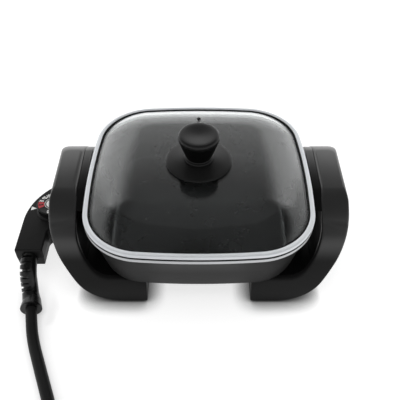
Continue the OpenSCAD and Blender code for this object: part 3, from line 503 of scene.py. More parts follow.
def cordPath():
    _, end, heading, _ = reliefFrame()
    face = end + relief["bellFloor"] * heading
    leaving = [face + cord["straight"] * k * heading for k in range(3)]
    free = smoothThrough(leaving + [fromPan(p) for p in cord["route"]], cord["perPoint"])
    coilStart = (cord["coilMiddle"][0] - cord["coilOut"], cord["coilMiddle"][1] + cord["coilLead"],
                 cord["diameter"] / 2 + cord["coilLift"])
    turns = [coilPoint(i / cord["perTurn"]) for i in range(round(cord["perTurn"] * cord["turns"]) + 1)]
    x, y, z = turns[-1]
    drop, steps = z - plug["high"] / 2, cord["exitSteps"]
    down = [(x + cord["exitStart"] + cord["exitRun"] * s / steps, y, z - drop * smoothStep(s / steps))
            for s in range(1, steps + 1)]
    plugEnd = (x + cord["exitStart"] + cord["exitRun"] + cord["diameter"], y, plug["high"] / 2)
    return free + [fromPan(p) for p in [coilStart] + turns + down + [plugEnd]]


def makeCord():
    path = cordPath()
    data = bpy.data.curves.new("powerCord", "CURVE")
    data.dimensions = "3D"
    data.bevel_depth = cord["diameter"] / 2
    data.bevel_resolution = 5
    data.use_fill_caps = True
    data.twist_mode = "Z_UP"
    spline = data.splines.new("POLY")
    spline.points.add(len(path) - 1)
    spline.points.foreach_set("co", [c for p in path for c in (*p, 1.0)])
    spline.use_smooth = True
    data.materials.append(finishes["cord"])
    piece = newPiece("powerCord", "power_cord", data, False)
    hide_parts("power_cord", "power_cord_coil")
    return piece, path


cordPiece, cordLine = makeCord()
print("cord of", round(pathLength(cordLine), 3), "m")


def sweepTree():
    # a round tube along a curve, as thick at each point as its line says, with slots cut from one side
    tree, given, result = newTree("taperedTube", "Sides", "Int")
    thick, deep = [outOf(tree, "GeometryNodeInputNamedAttribute", {"Name": label}, data_type="FLOAT")
                   for label in ("thickness", "slot")]
    circle = outOf(tree, "GeometryNodeCurvePrimitiveCircle", {"Resolution": given["Sides"], "Radius": 1.0})
    line = levelLine(tree, given["Geometry"])
    swept = {"Curve": line, "Profile Curve": circle, "Scale": thick, "Fill Caps": True}
    tube = outOf(tree, "GeometryNodeCurveToMesh", swept)
    outward = outOf(tree, "GeometryNodeInputNormal")
    side = addNode(tree, "ShaderNodeVectorMath", {0: outward, 1: relief["slotSide"]}, operation="DOT_PRODUCT")
    window = ramp(tree, side.outputs["Value"], *relief["slotWindow"], kind="LINEAR")
    inward = calc(tree, "MULTIPLY", calc(tree, "MULTIPLY", deep, window), -1.0)
    push = outOf(tree, "ShaderNodeVectorMath", {0: outward, "Scale": inward}, operation="SCALE")
    slotted = outOf(tree, "GeometryNodeSetPosition", {"Geometry": tube, "Offset": push})
    return endTree(tree, slotted, given["Material"], result)


def makeRelief():
    # slots across one side for bending; the bell opens round the cord
    _, end, heading, _ = reliefFrame()
    core, over, bell = relief["core"] / 2, relief["over"] / 2, relief["bell"] / 2
    points, radii, slots = reliefPath(), [], []
    for i in range(len(points)):
        u = i / (len(points) - 1)
        wave = u * relief["slots"] / relief["coneFrom"] % 1
        cut = smoothStep((relief["slotHalf"] - abs(wave - relief["slotAt"])) / relief["slotSoft"] + 0.5)
        radii.append(over + max(0, u - relief["coneFrom"]) * relief["coneRise"])
        slots.append(relief["slotDeep"] * cut if relief["slotFirst"] < u < relief["slotLast"] else 0)
    inside, grow = bell - relief["bellWall"], bell - radii[-1]
    flare = [(0.25, radii[-1] + grow * 0.25), (0.5, radii[-1] + grow * 0.5), (0.75, radii[-1] + grow * 0.76),
             (0.95, bell - 0.0002), (1.0, bell - 0.0004), (1.0, inside + 0.0004), (0.9, inside - 0.0004),
             (0.6, core + 0.0014), (0.3, core + 0.0002)]
    for s, r in flare:
        points.append(end + s * relief["bellLength"] * heading)
        radii.append(r)
        slots.append(0)
    mesh = pointMesh("strainRelief", points, False)
    for label, values in (("thickness", radii), ("slot", slots)):
        mesh.attributes.new(label, "FLOAT", "POINT").data.foreach_set("value", values)
    made = runTree("strainRelief", mesh, sweepTree(), {"Sides": relief["sides"], "Material": finishes["relief"]})
    newPiece("strainRelief", "strain_relief", tidyMesh(made, 40))


makeRelief()
print("strain relief made")


# Repeats, sections carried round an outline, and copies of the solids' own meshes

def repeatTree():
    # one template at every point
    tree, given, result = newTree("repeated", "Shape", "Object")
    source = addNode(tree, "GeometryNodeObjectInfo", {"Object": given["Shape"]}).outputs["Geometry"]
    placed = outOf(tree, "GeometryNodeInstanceOnPoints", {"Points": given["Geometry"], "Instance": source})
    return endTree(tree, placed, given["Material"], result)


def outlineTree():
    # a section carried round a closed outline
    tree, given, result = newTree("carriedRound", "Shape", "Object")
    source = addNode(tree, "GeometryNodeObjectInfo", {"Object": given["Shape"]}).outputs["Geometry"]
    section = outOf(tree, "GeometryNodeMeshToCurve", {"Mesh": source})
    line = levelLine(tree, given["Geometry"])
    swept = outOf(tree, "GeometryNodeCurveToMesh", {"Curve": line, "Profile Curve": section})
    return endTree(tree, swept, given["Material"], result)


repeats, carried = repeatTree(), outlineTree()


def repeatPiece(name, node, template, boxes, axis, finish):
    # the template stands in the middle of each box, on its low face across one axis
    points = []
    for low, high in boxes:
        point = (low + high) / 2
        point[axis] = low[axis]
        points.append(point)
    return newPiece(name, node, tidyMesh(shapedMesh(name, pointMesh(name, points), repeats, template, finish)))


def islandBoxes(node):
    # the box round each separate solid of a node
    work = bmesh.new()
    work.from_mesh(frame["nodes"][node].data)
    weldPoints(work)
    left = set(work.verts)
    boxes = []
    while left:
        stack = [left.pop()]
        island = list(stack)
        while stack:
            for edge in stack.pop().link_edges:
                for v in edge.verts:
                    if v in left:
                        left.remove(v)
                        stack.append(v)
                        island.append(v)
        boxes.append(tuple(Vector([pick(v.co[i] for v in island) for i in range(3)]) for pick in (min, max)))
    work.free()
    return sorted(boxes, key=lambda b: tuple(b[0]))


def skinOf(node, name, finish, alter):
    # a copy of a solid's mesh, altered and in one finish
    mesh = frame["nodes"][node].data.copy()
    mesh.name = name
    mesh.materials.clear()
    mesh.materials.append(finishes[finish])

    def change(work):
        weldPoints(work)
        alter(work)
        for face in work.faces:
            face.material_index = 0
        shade(work)

    return reworked(mesh, change)


def joinFlats(work):
    bmesh.ops.dissolve_limit(work, angle_limit=0.01, verts=work.verts, edges=work.edges)


def breakEdges(piece, width, segments, angle):
    edge = piece.modifiers.new("brokenEdge", "BEVEL")
    edge.width, edge.segments = width, segments
    edge.limit_method, edge.angle_limit = "ANGLE", radians(angle)
    return edge


def copyNode(node, finish, bevel=0.0):
    name = node + "Skin"
    piece = newPiece(name, node, skinOf(node, name, finish, joinFlats))
    if bevel:
        breakEdges(piece, bevel, 2, 40).harden_normals = True
    return piece


# Plug, its pins and the tie

def stadiumRing(x, wide, high, middle, steps=16):
    flat, r = max(0.0, wide - high) / 2, high / 2
    ends = arcPoints(flat, 0, r, -90, 90, steps) + arcPoints(-flat, 0, r, 90, 270, steps)
    return [(middle.x + x, middle.y + y, middle.z + z) for y, z in ends]


def makePlug():
    low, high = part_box("mains_plug")
    middle = Vector((low.x, (low.y + high.y) / 2, (low.z + high.z) / 2))
    thin = cord["diameter"] + 0.002
    wide, tall, neck, length = plug["wide"], plug["high"], plug["neck"], plug["length"]
    sizes = [(0, thin - 0.001, thin - 0.001), (0.0006, thin, thin)]
    for i in range(plug["grooves"]):  # flex grooves of the neck
        at = neck * (i + 0.35) / (plug["grooves"] + 0.5)
        wider = thin + (tall - 0.001 - thin) * at / neck
        sizes += [(at + x, wider - deep, wider - deep) for x, deep in plug["groove"]]
    body = [(0.0, tall - 0.001, tall - 0.001), (0.002, tall + 0.004, tall - 0.0006),
            (0.005, wide - 0.006, tall - 0.0003), (0.009, wide - 0.001, tall), (0.013, wide, tall),
            (0.017, wide - 0.001, tall), (0.022, wide - 0.003, tall - 0.001), (0.028, wide - 0.0025, tall - 0.001),
            (0.033, wide - 0.0005, tall), (0.037, wide, tall), (length - 0.0008, wide - 0.0004, tall - 0.0004),
            (length, wide - 0.002, tall - 0.002)]
    sizes += [(neck + x, w, h) for x, w, h in body]
    return loftPiece("mainsPlug", "mains_plug", [stadiumRing(*size, middle) for size in sizes], "relief")


def makePins():
    boxes = islandBoxes("plug_pins")
    low, high = boxes[0]
    r, length = (high.y - low.y) / 2, high.x - low.x
    profile = [(r - 0.0003, 0), (r, 0.0003), (r, length - 0.0016), (r - 0.0005, length - 0.0006),
               (r - 0.0014, length)]
    turned = [[(z, x, y) for x, y, z in ring] for ring in latheRings(profile, steps=32)]
    return repeatPiece("plugPins", "plug_pins", loftMesh("pin", turned, "brass"), boxes, 0, "brass")


plugPiece = makePlug()
pinPiece = makePins()
tiePiece = copyNode("cord_tie", "seal", 0.0003)
print("plug, pins and tie made")


# Lid: outline, band, seal, glass, vent

lid = {"sideR": 0.842, "cornerR": 0.073, "bandWide": 0.006, "bandRound": 0.0025, "sheet": 0.0008, "bandGap": 0.0018,
       "lipIn": 0.0076, "lipDown": 0.0035, "lipSlope": 0.0012, "sealWeb": 0.0012, "sealShow": 0.0018,
       "lineFrom": 0.0003, "lineTo": 0.003, "glass": 0.004, "glassEdge": 0.0004, "dome": 0.019, "domeRun": 0.055,
       "domeIn": 0.063, "flatIn": 0.069}
vent = {"bore": 0.0012, "wall": 0.0007, "brim": 0.0008, "edge": 0.0003}
bandLow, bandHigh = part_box("lid_rim")
half = (bandHigh.x - bandLow.x) / 2
bandTop, bandBase = bandHigh.z, bandLow.z + lid["lipDown"]
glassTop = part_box("lid_glass")[1].z
glassEdge = glassTop - lid["dome"]


def outline(offset, sideSteps=14, cornerSteps=30):
    # four bowed sides with tangent corner arcs
    side, corner = lid["sideR"], lid["cornerR"]
    k, q = side - half, side - corner
    c = (sqrt(2 * q * q - k * k) - k) / 2
    a = atan2(c, c + k)
    quarter = []
    for j in range(sideSteps):
        t = a * (2 * j / sideSteps - 1)
        quarter.append((-k + (side + offset) * cos(t), (side + offset) * sin(t)))
    for j in range(cornerSteps):
        t = a + (pi / 2 - 2 * a) * j / cornerSteps
        quarter.append((c + (corner + offset) * cos(t), c + (corner + offset) * sin(t)))
    turned = [quarter, [(-y, x) for x, y in quarter], [(-x, -y) for x, y in quarter], [(y, -x) for x, y in quarter]]
    return [p for part in turned for p in part]


def outlineRings(section):
    return [[(panX + x, y, z) for x, y in outline(offset)] for offset, z in section]


def carriedPiece(name, node, section, finish, replaced=True):
    path = pointMesh(name, [(panX + x, y, 0) for x, y in outline(0)], True)
    shape = pointMesh(name + "Section", [(x, -z, 0) for x, z in section], True)
    newPiece(name, node, tidyMesh(shapedMesh(name, path, carried, shape, finish), 50), replaced)


def makeBand():
    r, t, gap, wide = lid["bandRound"], lid["sheet"], lid["bandGap"], lid["bandWide"]
    low, lip, lipBase = bandBase + gap, lid["lipIn"], bandBase - lid["lipDown"]
    section = [(-wide, bandTop - t / 2), (-wide + t / 2, bandTop)]
    section += arcPoints(-r, bandTop - r, r, 90, 0, 9) + arcPoints(-gap, low + gap, gap, 0, -90, 4)
    section += [(-lip + lid["lipSlope"], low), (-lip, bandBase), (-lip, lipBase), (-lip - t, lipBase),
                (-lip - t, bandBase + t + gap), (-gap - t, bandBase + t + gap)]
    section += arcPoints(-r, bandTop - r, r - t, 0, 90, 3) + [(-wide, bandTop - t)]
    carriedPiece("lidBand", "lid_rim", section, "band")


def makeSeal():
    web, r, t = lid["bandRound"] + lid["sealWeb"], lid["bandRound"], lid["sheet"]
    show, lowEnd = lid["bandWide"] + lid["sealShow"], lid["lipIn"] + t
    low, under = bandBase + t + lid["bandGap"], glassEdge - lid["glass"]
    section = [(-show, glassEdge), (-show, bandTop - t), (-r, bandTop - t), (-r, low), (-lowEnd, low),
               (-lowEnd, under), (-web, under), (-web, glassEdge)]
    carriedPiece("lidSeal", "lid_seal", section, "seal")
    # a dark sheet in the seal's rubber fills the gap below the band: painted shade of that gap
    rest, below, x0, x1 = panHigh.z + hair, bandBase + lid["bandGap"], -lid["lineFrom"], -lid["lineTo"]
    line = [(x0, rest), (x0, below), (x1, below), (x1, rest)]  # dark line below the band
    carriedPiece("lidSealLip", "lid_seal", line, "seal", False)


def makeGlass():
    # a flat top that rolls down in a long curve to its edge in the band
    run, rise, thick, e = lid["domeRun"], lid["dome"], lid["glass"], lid["glassEdge"]
    r = (run * run + rise * rise) / (2 * rise)
    inner, level, under = r - thick, glassTop - r, glassEdge - thick
    start = degrees(atan2(glassEdge - level, run))
    low = degrees(asin((under - level) / inner))
    edge = -(lid["bandRound"] + lid["sealWeb"] + hair)
    section = [(-lid["flatIn"], glassTop)] + arcPoints(-lid["domeIn"], level, r, 90, start, 26)
    section += [(edge - e, glassEdge), (edge, glassEdge - e), (edge, under + e), (edge - e, under)]
    section += arcPoints(-lid["domeIn"], level, inner, low, 90, 26) + [(-lid["flatIn"], glassTop - thick)]
    loftPiece("lidGlass", "lid_glass", outlineRings(section), "glass")


def makeVent():
    low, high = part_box("steam_vent")
    middle = ((low.x + high.x) / 2, (low.y + high.y) / 2, 0)
    out, bore, brim, e = (high.x - low.x) / 2, vent["bore"], vent["brim"], vent["edge"]
    tube = bore + vent["wall"]
    profile = [(bore, low.z), (out - e, low.z), (out, low.z + e), (tube, low.z + brim), (tube, high.z - brim),
               (out, high.z - brim), (out - e, high.z - 0.0002), (bore + 0.0004, high.z), (bore, high.z - 0.0004)]
    loftPiece("steamVent", "steam_vent", latheRings(profile, middle, 48), "seal", joined=True)


makeBand()
makeSeal()
makeGlass()
makeVent()
print("lid made")


# Knob on its skirt

knob = {"wide": 0.0500, "high": 0.042, "neck": 0.032, "skirt": 0.082, "skirtHigh": 0.0055, "bore": 0.00225,
        "lip": 0.0024, "lipRound": 0.0012, "hollow": 0.25, "collar": 0.0026, "collarHigh": 0.0036,
        "collarRound": 0.0016, "neckUp": 0.0042, "rimDeep": 0.0075, "flare": 0.08, "coneSteps": 14,
        "crown": 0.0035, "dish": 0.0014}
knobAt = (panX, 0, glassTop)


def makeSkirt():
    r, h, lip, e = knob["skirt"] / 2, knob["skirtHigh"], knob["lip"], knob["lipRound"]
    neck, hollow = knob["neck"] / 2 + knob["collar"] + hair, knob["hollow"]
    profile = [(knob["bore"], 0), (r - 0.0006, 0), (r, 0.0006)] + arcPoints(r - e, lip - e, e, 0, 75, 6)
    for i in range(1, 9):  # hollow slope up to the neck
        t = i / 8
        profile.append((r - e + (neck - r + e) * t, lip + (h - lip) * ((1 - hollow) * t + hollow * t * t)))
    profile += [(neck - 0.001, h), (knob["bore"], h)]
    loftPiece("knobSkirt", "knob_skirt", latheRings(profile, knobAt), "knob", joined=True)


def makeKnob():
    neck, top, base = knob["neck"] / 2, knob["high"], knob["skirtHigh"]
    wide, crown, e, flare = knob["wide"] / 2, knob["crown"], knob["collarRound"], knob["flare"]
    neckAt, lipAt, lipR = base + knob["neckUp"], top - knob["rimDeep"], wide - 0.0006
    ring, high, steps = neck + knob["collar"], base + knob["collarHigh"], knob["coneSteps"]
    profile = [(knob["bore"], base), (ring - 0.0005, base), (ring, base + 0.0005)]
    profile += arcPoints(ring - e, high - e - 0.0004, e, 0, 80, 6) + [(neck + 0.0004, high - hair)]
    coneAt = len(profile)
    for i in range(steps + 1):  # cone that opens towards the rim
        t = i / steps
        profile.append((neck + (lipR - neck) * ((1 + flare) * t - flare * t * t), neckAt + (lipAt - neckAt) * t))
    profile += [(wide - 0.0002, lipAt + 0.0008), (wide, lipAt + 0.0018)]
    profile += arcPoints(wide - crown, top - crown, crown, 0, 84, 10)
    for i in range(1, 6):  # dished top
        t = i / 6
        profile.append(((wide - crown) * (1 - t), top - knob["dish"] * sin(t * pi / 2) ** 1.5))
    profile.append((0.0005, top - knob["dish"]))
    # the cone rings take the darker neck plastic, which is painted shade
    slots = [1 if coneAt <= i < coneAt + steps else 0 for i in range(len(profile) - 1)]
    loftPiece("lidKnob", "knob", latheRings(profile, knobAt), "knob", "neck", ringSlots=slots)


makeSkirt()
makeKnob()
print("knob made")


# Pan: one bowl section carried round the outline, with the rib, bosses and well of the solid below it

pan = {"wall": 0.0036, "floor": 0.004, "lean": 14, "rimHigh": 0.005, "rimOver": 0.0032, "rimIn": 0.0003,
       "rimRound": 0.0012, "edge": 0.0008, "fillet": 0.013, "depth": 0.071, "flatIn": (0.004, 0.02),
       "climb": (0.03, 0.012), "cutBelow": 0.00005}
rimTop = panHigh.z
floorTop = rimTop - pan["depth"]
panBase = floorTop - pan["floor"]


def makePan():
    lean, rimBase = radians(pan["lean"]), rimTop - pan["rimHigh"]
    wall, rimIn, r, e = pan["wall"], pan["rimIn"], pan["rimRound"], pan["edge"]
    wallX = -rimIn - pan["rimOver"]
    near, far = pan["flatIn"]

    def wallAt(z, inside):
        return wallX - inside - tan(lean) * (rimBase - z)

    def bend(base, radius, inside):
        z = base + radius
        x = wallAt(z - radius * sin(lean), inside) - radius * cos(lean)
        return arcPoints(x, z, radius, -pan["lean"], -90, 14)

    inner = list(reversed(bend(floorTop, pan["fillet"], wall)))
    outer = bend(panBase, pan["fillet"] + pan["floor"], 0)
    start = [(inner[0][0] - far, floorTop), (inner[0][0] - near, floorTop)]
    levels = [rimBase - down for down in pan["climb"]]
    climb = [(wallAt(z, wall), z) for z in levels + [rimTop - e]]
    lip = [(wallAt(rimTop, wall) + e, rimTop)] + arcPoints(-rimIn - r, rimTop - r, r, 90, 0, 5)
    lip += arcPoints(-rimIn - r, rimBase + r, r, 0, -90, 5)
    fall = [(wallX + 0.0004, rimBase), (wallX, rimBase - 0.0006), (wallAt(levels[0], 0), levels[0])]
    end = [(outer[-1][0] - near, panBase), (outer[-1][0] - far, panBase)]
    section = start + inner + climb + lip + fall + outer + end
    bare = len(start + inner + climb) - 1
    slots = [0 if i < bare else 2 if i < bare + len(lip) + 1 else 1 for i in range(len(section) - 1)]
    loftPiece("panBowl", "pan", outlineRings(section), "panIn", "panOut", "panRim", ringSlots=slots)


def keepUnderside(work):
    # what stands below the pan's floor: the element's rib, the leg bosses and the sensor's well
    bmesh.ops.bisect_plane(work, geom=work.verts[:] + work.edges[:] + work.faces[:], clear_outer=True,
                           plane_co=(0, 0, panBase - pan["cutBelow"]), plane_no=(0, 0, 1))
    bmesh.ops.holes_fill(work, edges=[e for e in work.edges if len(e.link_faces) == 1])


makePan()
newPiece("panUnderside", "pan", skinOf("pan", "panUnderside", "panOut", keepUnderside), False)
print("pan made")


# Wings: a C-shaped band, narrowed towards its top by an S-curve at both ends

wing = {"thick": 0.032, "bendR": 0.105, "bendHigh": 0.108, "turn": 33, "toe": 0.070, "linerR": 0.073,
        "linerHigh": 0.092, "linerTurn": 40, "footHigh": 0.0345, "footEnd": 0.075, "footRound": 0.0025,
        "topHalf": 0.051, "back": 0.011, "baseHalf": 0.115, "leanTop": 34, "leanBase": 2, "frontTop": 0.048,
        "rearTop": 0.034, "topEdge": 0.005, "roundFront": 0.0035, "roundRear": 0.010, "lip": 0.003, "recess": 0.003,
        "archHalf": 0.048, "archHigh": 0.058, "archRound": 0.012, "archRun": (0.03, 0.25), "archDown": 0.01,
        "ledgeHigh": 0.009, "ledgeDrop": 0.0008, "ledgeGap": 0.0012, "ledgeIn": 0.001, "crown": 1.8,
        "crownDeep": 0.045, "crownMid": 0.014, "wider": 0.0018, "broken": 0.0012, "linerBroken": 0.0004}
wingOut, wingIn = wingHigh.x + wing["wider"] - panX, wingHigh.x - panX - wing["thick"]


def evenly(points, count):
    # the same line through points at equal steps of its length
    lengths = [0.0]
    for a, b in zip(points, points[1:]):
        lengths.append(lengths[-1] + dist(a, b))
    out, k = [], 0
    for i in range(count + 1):
        at = lengths[-1] * i / count
        while k < len(points) - 2 and lengths[k + 1] < at:
            k += 1
        out.append(mix(points[k], points[k + 1], (at - lengths[k]) / (lengths[k + 1] - lengths[k])))
    return out


def wingStations(count=72):
    # matching points on the outer and inner curve, from the rounded top down to the foot's end
    foot, start = wingLow.z, wingHigh.z - wing["topEdge"] - 0.0003

    def curve(x, radius, bendZ, turn, low, toe):
        a, cx = radians(turn), x - radius
        end = (cx + radius * cos(a), bendZ - radius * sin(a))
        straight = (end[1] - low - toe * (1 - sin(a))) / cos(a)
        toeX = end[0] - straight * sin(a) - toe * cos(a)
        bent = arcPoints(cx, bendZ, radius, 0, -turn, 60)
        line = [p for p in bent if p[1] < start] + arcPoints(toeX, low + toe, toe, -turn, -90, 40)
        crossed = [mix(p, q, (p[1] - start) / (p[1] - q[1])) for p, q in zip(bent, bent[1:]) if p[1] > start >= q[1]]
        first = crossed[0] if crossed else (x, start)
        return evenly([first] + line + [(half - wing["footEnd"], low)], count)

    base, turn = foot + wing["footHigh"], radians(wing["linerTurn"])
    bendZ = foot + wing["linerHigh"]
    toe = (bendZ - wing["linerR"] * sin(turn) - base) / (1 - sin(turn))
    outer = curve(wingOut, wing["bendR"], foot + wing["bendHigh"], wing["turn"], foot, wing["toe"])
    inner = curve(wingIn, wing["linerR"], bendZ, wing["linerTurn"], base, toe)
    return list(zip(outer, inner))


def endAt(z, rear, inset=0.0):
    # half length of a wing at a height: an S-curve, rounded at the top
    high, lean = wingHigh.z - wingLow.z, radians(wing["leanTop"])
    top, bend = (wing["topHalf"] + wing["back"], wing["rearTop"]) if rear else (wing["topHalf"], wing["frontTop"])
    r, level = bend - inset, wingHigh.z - bend
    if z > level + r * sin(lean):
        rise = min(r, z - level)
        return top - bend * tan(pi / 4 - lean / 2) + sqrt(r * r - rise * rise)
    t = (z - wingLow.z) / high
    m0, m1 = -tan(radians(wing["leanBase"])) * high, -tan(lean) * high
    slope = cos(lean * min(1, max(0, t)))
    return (wing["baseHalf"] * (2 * t ** 3 - 3 * t * t + 1) + m0 * (t ** 3 - 2 * t * t + t)
            + top * (3 * t * t - 2 * t ** 3) + m1 * (t ** 3 - t * t)) - inset / slope


def rounded(corner, before, after, r, steps=6):
    a, b, c = Vector(corner), Vector(before), Vector(after)
    p, q = a + (b - a).normalized() * r, a + (c - a).normalized() * r
    return [tuple((1 - t) ** 2 * p + 2 * t * (1 - t) * a + t * t * q) for t in [i / steps for i in range(steps + 1)]]


def acrossWing(outer, inner, flat):
    # places depths measured from the outer towards the inner curve
    o, i = Vector(outer), Vector(inner)
    w = (i - o).length
    return [(panX + o.x + (i.x - o.x) * a / w, y, o.y + (i.y - o.y) * a / w) for a, y in flat]


def wingRing(outer, inner, inset, recess):
    w = (Vector(inner) - Vector(outer)).length
    a0, a1 = inset, w - inset
    heights = [p[2] for p in acrossWing(outer, inner, [(a, 0) for a in (a0, w / 2, a1)])]
    f0, f1, f2 = [-endAt(z, False) for z in heights]
    b0, b1, b2 = [endAt(z, True) for z in heights]
    front, rear = wing["roundFront"], wing["roundRear"]
    lip = wing["lip"] + front
    flat = rounded((a0, f0), (w / 2, f1), (a0, b0), front) + rounded((a0, b0), (a0, f0), (w / 2, b1), rear)
    flat += [(w / 2, b1)] + rounded((a1, b2), (w / 2, b1), (a1, f2), front)
    flat += [(a1, b2 - lip), (a1 - recess, b2 - lip), (a1 - recess, f2 + lip), (a1, f2 + lip)]
    flat += rounded((a1, f2), (a1, b2), (w / 2, f1), front) + [(w / 2, f1)]
    return acrossWing(outer, inner, flat)


def linerRing(outer, inner):
    w = (Vector(inner) - Vector(outer)).length
    gap, e = wing["lip"] + wing["roundFront"] + 0.0002, wing["linerBroken"]
    f, b = gap - endAt(inner[1], False), endAt(inner[1], True) - gap
    deep, face = w - wing["recess"] + hair, w - 0.0003
    flat = [(deep, f), (deep, b), (face - e, b), (face, b - e), (face, f + e), (face - e, f)]
    return acrossWing(outer, inner, flat)


def ledgeMesh():
    # the shelf between wing and lid, with the wing's own curve at both ends
    x0, x1 = panX + half + wing["ledgeGap"], panX + wingIn + wing["ledgeIn"]
    edge = wing["ledgeDrop"]
    base = wingHigh.z - edge - wing["ledgeHigh"]

    def ring(x, inset):
        tall = wingHigh.z - inset - base
        heights = [base + tall * sin(radians(a)) for a in range(0, 91, 6)]
        return ([(x, -endAt(z, False, inset), z) for z in heights]
                + [(x, endAt(z, True, inset), z) for z in reversed(heights)])

    rings = [ring(x0, edge + 0.0012), ring(x0 + 0.0003, edge + 0.0005), ring(x0 + 0.0012, edge), ring(x1, edge)]
    # in the darker ledge plastic, which is painted shade of the recess
    return loftMesh("ledge", rings, "ledge")


def crowned(mesh):
    # bends the top into a low arch from front to back
    for v in mesh.vertices:
        share = smoothStep((v.co.z - wingHigh.z + wing["crownDeep"]) / wing["crownDeep"])
        v.co.z -= wing["crown"] * (v.co.y - wing["crownMid"]) ** 2 * share
    return mesh


def archCutter():
    w, h, r, low = wing["archHalf"], wing["archHigh"], wing["archRound"], -wing["archDown"]
    profile = [(w, low)] + arcPoints(w - r, h - r, r, 0, 90, 10)
    profile += arcPoints(r - w, h - r, r, 90, 180, 10) + [(-w, low)]
    return loftMesh("arch", [[(panX + x, y, z) for y, z in profile] for x in wing["archRun"]], "wing")


def cutMesh(name, mesh, cutter, bevel):
    # cuts one mesh from another and breaks the edges
    piece, tool = newObject(name, mesh), newObject("tool", cutter)
    cut = piece.modifiers.new("cut", "BOOLEAN")
    cut.operation, cut.object, cut.solver = "DIFFERENCE", tool, "EXACT"
    breakEdges(piece, bevel, 3, 50)
    made = evaluated(name, piece)
    bpy.data.objects.remove(tool)
    return tidyMesh(made, 32)


def mirrored(mesh, name):
    copy = mesh.copy()
    copy.name = name
    there, back = Matrix.Translation((panX, 0, 0)), Matrix.Translation((-panX, 0, 0))
    copy.transform(there @ Matrix.Scale(-1, 4, (1, 0, 0)) @ back)
    return reworked(copy, lambda work: bmesh.ops.reverse_faces(work, faces=work.faces))


def makeWings():
    stations = wingStations()
    last = stations[-1]
    lip, edge, recess, foot = wing["lip"], wing["topEdge"], wing["recess"], wing["footRound"]
    inward = copysign(1, last[0][0] - stations[-2][0][0])

    def before(distance):
        # the last pair of points, set back from the foot's end
        return [(x - inward * distance, z) for x, z in last]

    rings = []
    for k in range(10):  # rounded top
        a = radians(90 - 10 * k)
        z = wingHigh.z - edge * (1 - sin(a))
        rings.append(wingRing((wingOut, z), (wingIn, z), edge * (1 - cos(a)), 0))
    at = wingHigh.z - edge - hair
    rings.append(wingRing((wingOut, at), (wingIn, at), 0, recess))
    body = [s for s in stations if s[0][0] > last[0][0] + lip + 0.001]
    rings += [wingRing(*s, 0, recess) for s in body]
    rings += [wingRing(*before(lip + hair), 0, recess), wingRing(*before(lip), 0, 0)]
    for k in range(5):  # rounded foot end
        a = radians(90 * k / 4)
        rings.append(wingRing(*before(foot * (1 - sin(a))), foot * (1 - cos(a)), 0))
    plateRings = [linerRing(*s) for s in body] + [linerRing(*before(lip + 0.0003))]
    shell = cutMesh("rightWing", loftMesh("wing", rings, "wing"), archCutter(), wing["broken"])
    # the liner is in the darker liner plastic, which is painted shade of the recess
    liner = cutMesh("rightWingLiner", loftMesh("liner", plateRings, "liner"), archCutter(), wing["linerBroken"])
    for end, mesh, node in (("Wing", shell, "wing"), ("WingLiner", liner, "wing_liner"),
                            ("Ledge", ledgeMesh(), "wing_liner")):
        crowned(mesh)
        for side, copy in (("right", mesh), ("left", mirrored(mesh, "left" + end))):
            newPiece(side + end, side + "_" + node, copy, end != "Ledge")


makeWings()
print("wings made")


# Temperature control: two housing halves, pointer and dial

control = {"armWide": 0.035, "bulgeR": 0.083, "bulgeY": -0.0225, "plugY": -0.038, "plugRound": 0.008, "corner": 0.003,
           "cornerLeast": 0.0008, "legEase": 0.0018, "legEaseY": 0.033, "legEaseRun": 0.006, "edge": 0.0022,
           "draft": 0.0012, "joint": 0.0003}
pointer = {"from": -0.225, "to": -0.2176, "y": -0.0027, "half": 0.0034, "thick": 0.00012}
topLow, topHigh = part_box("control_top")


def controlOutline(d):
    x0, x1, y0 = topLow.x + d, topHigh.x - d, topLow.y + d
    armX = topLow.x + control["armWide"] - d
    r, bulgeX = control["bulgeR"] - d, topLow.x + control["bulgeR"]
    low, turnR = control["plugY"] + d, control["plugRound"] + d
    easeX, easeY = x1 - control["legEase"], control["legEaseY"]
    start = degrees(acos((easeX - bulgeX) / r))
    inner = arcPoints(armX + turnR, low - turnR, turnR, 180, 90, 10)
    back = arcPoints(bulgeX, control["bulgeY"], r, start, 180, 40)
    c = max(control["cornerLeast"], control["corner"] - d)
    return (rounded((x0, y0), back[-1], (armX, y0), c) + rounded((armX, y0), (x0, y0), inner[0], c) + inner
            + rounded((x1, low), inner[-1], (x1, easeY), c / 2)
            + [(x1, easeY), (easeX, easeY + control["legEaseRun"])] + back)


def makeHousing():
    e, split, joint, foot = control["edge"], topLow.z, control["joint"], control["draft"]
    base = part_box("control_bottom")[0].z
    angles = [pi / 2 * k / 6 for k in range(7)]
    rim = [(e * (1 - sin(a)), topHigh.z - e * (1 - cos(a))) for a in reversed(angles)]
    toe = [(foot + e * (1 - cos(a)), base + e * (1 - sin(a))) for a in angles]
    for name, node, away, ends in (("controlTop", "control_top", joint, rim),
                                   ("controlBottom", "control_bottom", -joint, toe)):
        steps = [(joint, split), (0, split + away)] + ends
        rings = [[(x, y, z) for x, y in controlOutline(d)] for d, z in steps]
        loftPiece(name, node, rings, "control")


def makePointer():
    x0, x1, y, z = panX + pointer["from"], panX + pointer["to"], pointer["y"], topHigh.z
    flat = [(x0, y - pointer["half"]), (x1, y), (x0, y + pointer["half"])]
    rings = [[(*p, z + h) for p in flat] for h in (-hair, pointer["thick"])]
    loftPiece("controlPointer", "control_top", rings, "white", replaced=False)


